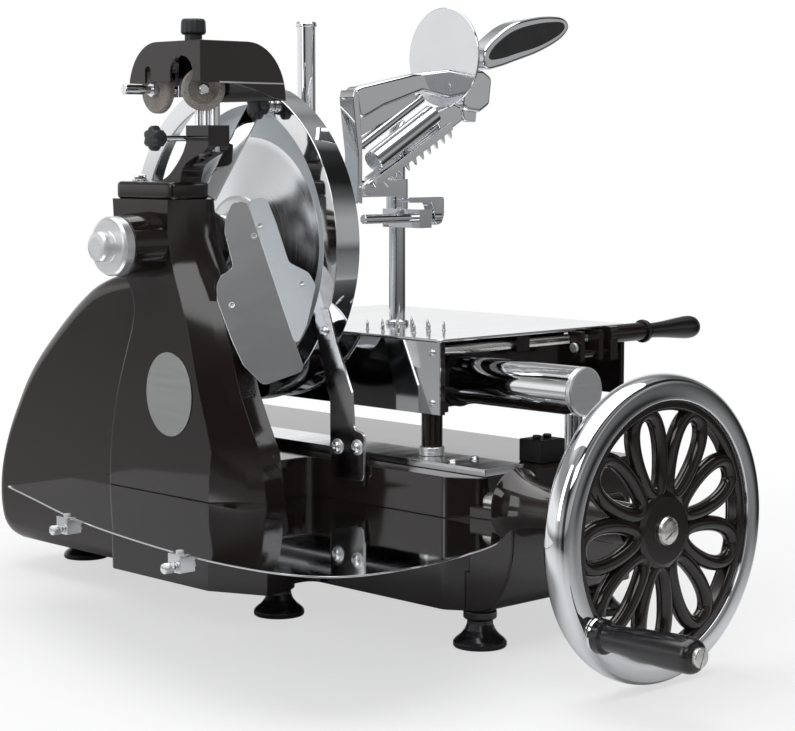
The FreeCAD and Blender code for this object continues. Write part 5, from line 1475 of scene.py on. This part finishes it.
class SLICER_OT_table(bpy.types.Operator):
    """Meat table, its spikes and posts, and the table lever"""
    bl_idname = "slicer.table"
    bl_label = "Table"

    def execute(self, context):
        make_table()
        spots = [(at(24 + 22 * i + 8 * row, y, TABLE_TOP), Z_AXIS)
                 for row, y in enumerate((-205, -172, -139)) for i in range(4)]
        scatter("holding_spikes", spike, spots, "table", "chrome", ("table_spikes",), 1.0)
        post = solid_profile(((13, 0), (13, 3.6), (11, 5), (9, 5.2), (9, 222.5), (8, 224)))
        lathe("press_post", post, at(110, -112, TABLE_TOP), Z_AXIS, "table", "chrome",
              ("table_posts",), 96, 0.6)
        tall = solid_profile(((14.5, 0), (14.5, 3.6), (12.5, 5), (10.5, 5.2), (10.5, 331),
                              (12, 331.4), (12, 334.5), (10.5, 336.6), (7.5, 337)))
        lathe("tall_post", tall, at(110, 38, TABLE_TOP), Z_AXIS, "table", "chrome", (),
              96, 0.5)
        refined("feed_lever", "enamel", 1.4, 3)
        centre = middle("feed_grip")
        line = curved(((8.6, 8), (8.2, 14), (9.2, 36), (11.6, 62), (12.9, 78), (12.2, 88),
                       (9.0, 94), (4.0, 96)), 5, False)
        grip = [(4.05, 0), (12.6, 0), (13, 2), (12.6, 5)] + line + [
            (0.0, 96.0), (0.0, 93.0), (4.05, 93.0)]
        lathe("lever_grip", grip, at(reach("feed_grip")[0].x, centre.y, centre.z), X_AXIS,
              "feed_handle", "bakelite", ("feed_grip",), 96, 0.5)
        return {"FINISHED"}


def make_table():
    """The polished plate over its enamelled guides, nut block and lever ears."""
    low, high = reach("meat_table")
    thickness = 3
    plate = rounded(((8, -282), (high.x, -282), (high.x, high.y), (8, high.y)), 7, 5)
    prism("table_plate", across_z(plate, high.z - thickness), Z_AXIS * (thickness * MM), "table",
          "sheet", ("meat_table",), 1.1, 3)
    plate_space = scratch("plate_space", add_block(
        bmesh.new(), (0, low.y - 5, high.z - thickness - 0.05),
        (high.x + 5, high.y + 5, high.z + 5)))
    soften(carved(scratch("table_under", copied("meat_table")), [plate_space], "table_underside",
                  "table", "enamel", ()), 1.6, 3)
    cap = rounded_profile(solid_profile(((4.6, 0), (5.4, 0.6), (5.4, 3))), 0.3)
    cap = add_lathe(bmesh.new(), cap, at(reach("feed_lever")[0].x - 1.5, -292.0, -112.0), X_AXIS,
                    40)
    flatten(put("ear_pin_cap", cap, "table", "cap", ()))


def spike():
    """One holding spike: a small foot, a plain shank and a sharp point."""
    profile = ((0, 0), (2.2, 0), (2.2, 0.7), (1.5, 1.0), (1.5, 6.6), (0.35, 10.0), (0, 10.0))
    return add_lathe(bmesh.new(), rounded_profile(profile, 0.15), Vector(), Z_AXIS, 20)


# Press

class SLICER_OT_press(bpy.types.Operator):
    """Press arm, toothed gripper, hand guard and handle"""
    bl_idname = "slicer.press"
    bl_label = "Press"

    def execute(self, context):
        refined("press_slider", "chrome", 1.6, 3)
        make_clamp()
        make_arm()
        refined("gripper", "chrome", 0.3, 2)
        make_paddle()
        left, centre = reach("hand_guard")[0].x, middle("hand_guard")
        disc = solid_profile(((53.4, 0), (54, 0.6), (54, 1.9), (53.4, 2.5)))
        lathe("guard_disc", disc, at(left, centre.y, centre.z), X_AXIS, "press_arm", "sheet",
              ("hand_guard",), settings()[1].turning_steps, 0.3)
        spots = [(at(left + 1.2, centre.y + dy, centre.z - 35 + dz), -X_AXIS)
                 for dy, dz in ((6, 0), (-7, 2))]
        scatter("disc_screws", slotted_screw, spots, "press_arm", "cap", (), 5.0)
        return {"FINISHED"}


def make_arm():
    """The cast arm: end block, tapered beam, round rods below it and the bracket at the disc."""
    front, rod_y = -146.0, -135.0

    for name, corners, y, depth, edge, corner, nodes in (
            ("press_end_block", ((13.5, 155), (16, 165), (22, 156), (27, 104), (27, 42), (20, 44),
                                 (21, 96), (14, 148)), front, 22, 1.2, 2.5, ("press_arm",)),
            ("press_beam", ((18, 165), (106, 182), (178, 190), (186, 168), (180, 152), (117, 163),
                            (60, 146), (24, 130)), front + 1, 20, 7.0, 9.0, ()),
            ("press_beam_web", ((24, 142), (112, 170), (112, 150), (26, 112)), front + 7, 8, 1.0,
             2.0, ()),
            ("press_bracket", ((184, 188), (211, 188), (226, 180), (222, 150), (206, 141),
                               (180, 143)), front, 22, 4.0, 8.0, ()),
            ("press_bracket_lug", ((182, 146), (206, 146), (204, 130), (186, 132)), front + 5, 12,
             1.5, 3.0, ()),
            ("press_tube_end", ((136, 140), (166, 150), (178, 146), (180, 132), (162, 122),
                                (146, 120)), front + 2, 18, 2.5, 5.0, ())):
        prism(name, across_y(rounded(corners, corner), y), Y_AXIS * (depth * MM), "press_arm",
              "chrome", nodes, edge, 4)
    for name, start, end, radius in (("press_tube", (52, 87), (142, 138), 12.0),
                                     ("press_upper_rod", (26, 100), (124, 156), 6.0),
                                     ("press_front_rod", (34, 56), (152, 121), 5.0)):
        begin, finish = at(start[0], rod_y, start[1]), at(end[0], rod_y, end[1])
        axis = finish - begin
        length = axis.length / MM
        profile = solid_profile(((radius - 1, 0), (radius, 1), (radius, length - 1),
                                 (radius - 1, length)))
        lathe(name, profile, begin, axis.normalized(), "press_arm", "chrome", (), 64,
              0.5)
    pin = solid_profile(((5.8, 0), (7, 1), (7, 6), (5.8, 7)))
    lathe("press_pivot_cap", pin, at(30, front - 4, 58), Y_AXIS, "press_arm", "cap", (),
          48, 0.5)


def make_clamp():
    """Clamp rod, its nut and the flat lever that stands over them."""
    y, z = -160.0, 27.0
    rod = solid_profile(((4, 0), (5, 1), (5, 98), (8.5, 98.5), (8.5, 110), (5, 110.5), (5, 113)))
    lathe("clamp_rod", rod, at(reach("clamp_lever")[0].x, y, z), X_AXIS, "clamp_lever", "chrome",
          ("clamp_lever",), 64, 0.5)
    outline = rounded(((72, 49), (128, 49), (128, 30), (124, 20), (114, 20), (113, 32), (109, 43),
                       (74, 43.5)), 4)
    prism("clamp_paddle", across_y(outline, y - 7.5), Y_AXIS * (15 * MM), "clamp_lever", "chrome",
          (), 2.6, 4)


def make_paddle():
    """The long flattened handle: a polished frame round a dark recessed face."""
    low, high = reach("press_handle")
    outline = curved(((214, 190), (236, 192), (262, 199), (300, 210), (334, 224), (350, 236),
                      (352, 244), (345, 250), (330, 252), (300, 250), (262, 242), (236, 229),
                      (214, 211)), 5)
    prism("handle_paddle", across_y(outline, low.y + 3), Y_AXIS * ((high.y - low.y - 6) * MM),
          "press_arm", "chrome", ("press_handle",), 4.0, 5)
    inner = curved(((220, 200), (240, 202), (264, 208), (300, 217), (330, 229), (342, 237),
                    (343, 243), (334, 246), (300, 243), (264, 235), (240, 224), (222, 210)), 5)
    for name, y in (("handle_front_inlay", low.y + 2.2), ("handle_back_inlay", high.y - 4.2)):
        prism(name, across_y(inner, y), Y_AXIS * (2 * MM), "press_arm", "bakelite", (),
              0.6, 3)


# Tray

class SLICER_OT_tray(bpy.types.Operator):
    """Slice tray, its arms and thumb screws"""
    bl_idname = "slicer.tray"
    bl_label = "Tray"

    def execute(self, context):
        make_tray()
        for node in ("tray_screw_rear", "tray_screw_front"):
            make_thumb_screw(node)
        return {"FINISHED"}


def make_tray():
    """A mirror-polished sheet with a softly curved front, clipped to two flat arms."""
    low, high = reach("slice_tray")
    front = curved(((-235, 140), (-262, 50), (-297, -68), (-320, -180), (-335, -297),
                    (-335, -380), (-322, -440), (-288, -475), (-219, -484), (-144, -473),
                    (-84, -452), (-52, -414), (-36, -350)), 8, False)
    outline = [(-150, 140)] + front + [(-36, -133), (-89, -133), (-89, -160), (-150, -160)]
    prism("slice_tray_sheet", across_z(outline, low.z), Z_AXIS * ((high.z - low.z) * MM), "frame",
          "mirror", ("slice_tray",), 0.35, 2)
    refined("tray_arms", "sheet", 0.8, 2)
    clips, bosses = bmesh.new(), bmesh.new()
    clip_top = high.z + 1.6
    for x, y in ((-295, -68), (-332, -297)):
        add_block(clips, (x - 13, y - 9, high.z), (x - 3, y + 9, clip_top))
        add_block(clips, (x - 14, y - 9, low.z - 14), (x - 12.2, y + 9, clip_top))
        add_lathe(bosses, rounded_profile(solid_profile(((3.6, 0), (3.6, 3))), 0.6),
                  at(x - 7, y, high.z + 1.2), Z_AXIS, 32)
    soften(put("tray_clips", clips, "frame", "chrome", ()), 0.6, 2)
    flatten(put("tray_clip_bosses", bosses, "frame", "cap", ()))


def make_thumb_screw(node):
    """A small knurled thumb screw on a threaded stud."""
    low, high = reach(node)
    centre = middle(node)
    radius, ridges, stud_start = 5.0, 24, 12

    def knurled(r, angle):
        return r * (1 - 0.04 * (1 + math.cos(ridges * angle))) if r == radius else r

    profile = [(radius * share, along) for share, along in (
        (0, 0), (0.86, 0), (1.0, 1.0), (1.0, 9), (0.86, 10), (0.55, 10.4), (0.55, 12.6),
        (0, 12.6))]
    head = add_lathe(bmesh.new(), profile, at(low.x, centre.y, centre.z), X_AXIS, 96, knurled)
    flatten(put(node + "_head", head, node, "chrome", (node,)))
    stud(node + "_stud", at(low.x + stud_start, centre.y, centre.z), X_AXIS, 3.0,
         high.x - low.x - stud_start, node)


class SLICER_PT_panel(bpy.types.Panel):
    """Lists the sizes, the colours and the steps that build the slicer"""
    bl_label = "Meat Slicer"
    bl_idname = "SLICER_PT_panel"
    bl_space_type = "VIEW_3D"
    bl_region_type = "UI"
    bl_category = "Slicer"

    def draw(self, context):
        for group in settings():
            box = self.layout.box()
            for name in group.bl_rna.properties.keys():
                if name not in ("rna_type", "name"):
                    box.prop(group, name)
        for step in STEPS:
            self.layout.operator(step.bl_idname)


SETTINGS = (SlicerFinishSettings, SlicerSizeSettings, SlicerStageSettings)
STEPS = (SLICER_OT_finishes, SLICER_OT_stage, SLICER_OT_castings, SLICER_OT_sharpener,
         SLICER_OT_blade, SLICER_OT_guard, SLICER_OT_flywheel, SLICER_OT_carriage,
         SLICER_OT_table, SLICER_OT_press, SLICER_OT_tray)


def register():
    for item in (*SETTINGS, *STEPS, SLICER_PT_panel):
        bpy.utils.register_class(item)
    bpy.types.Scene.slicer_finish = bpy.props.PointerProperty(type=SlicerFinishSettings)
    bpy.types.Scene.slicer_size = bpy.props.PointerProperty(type=SlicerSizeSettings)
    bpy.types.Scene.slicer_stage = bpy.props.PointerProperty(type=SlicerStageSettings)


def unregister():
    del bpy.types.Scene.slicer_stage
    del bpy.types.Scene.slicer_size
    del bpy.types.Scene.slicer_finish
    for item in reversed((*SETTINGS, *STEPS, SLICER_PT_panel)):
        bpy.utils.unregister_class(item)


def main():
    register()
    bpy.context.scene.view_settings.view_transform = "Standard"
    for step in STEPS:
        family, name = step.bl_idname.split(".")
        getattr(getattr(bpy.ops, family), name)()


if __name__ == "__main__":
    main()
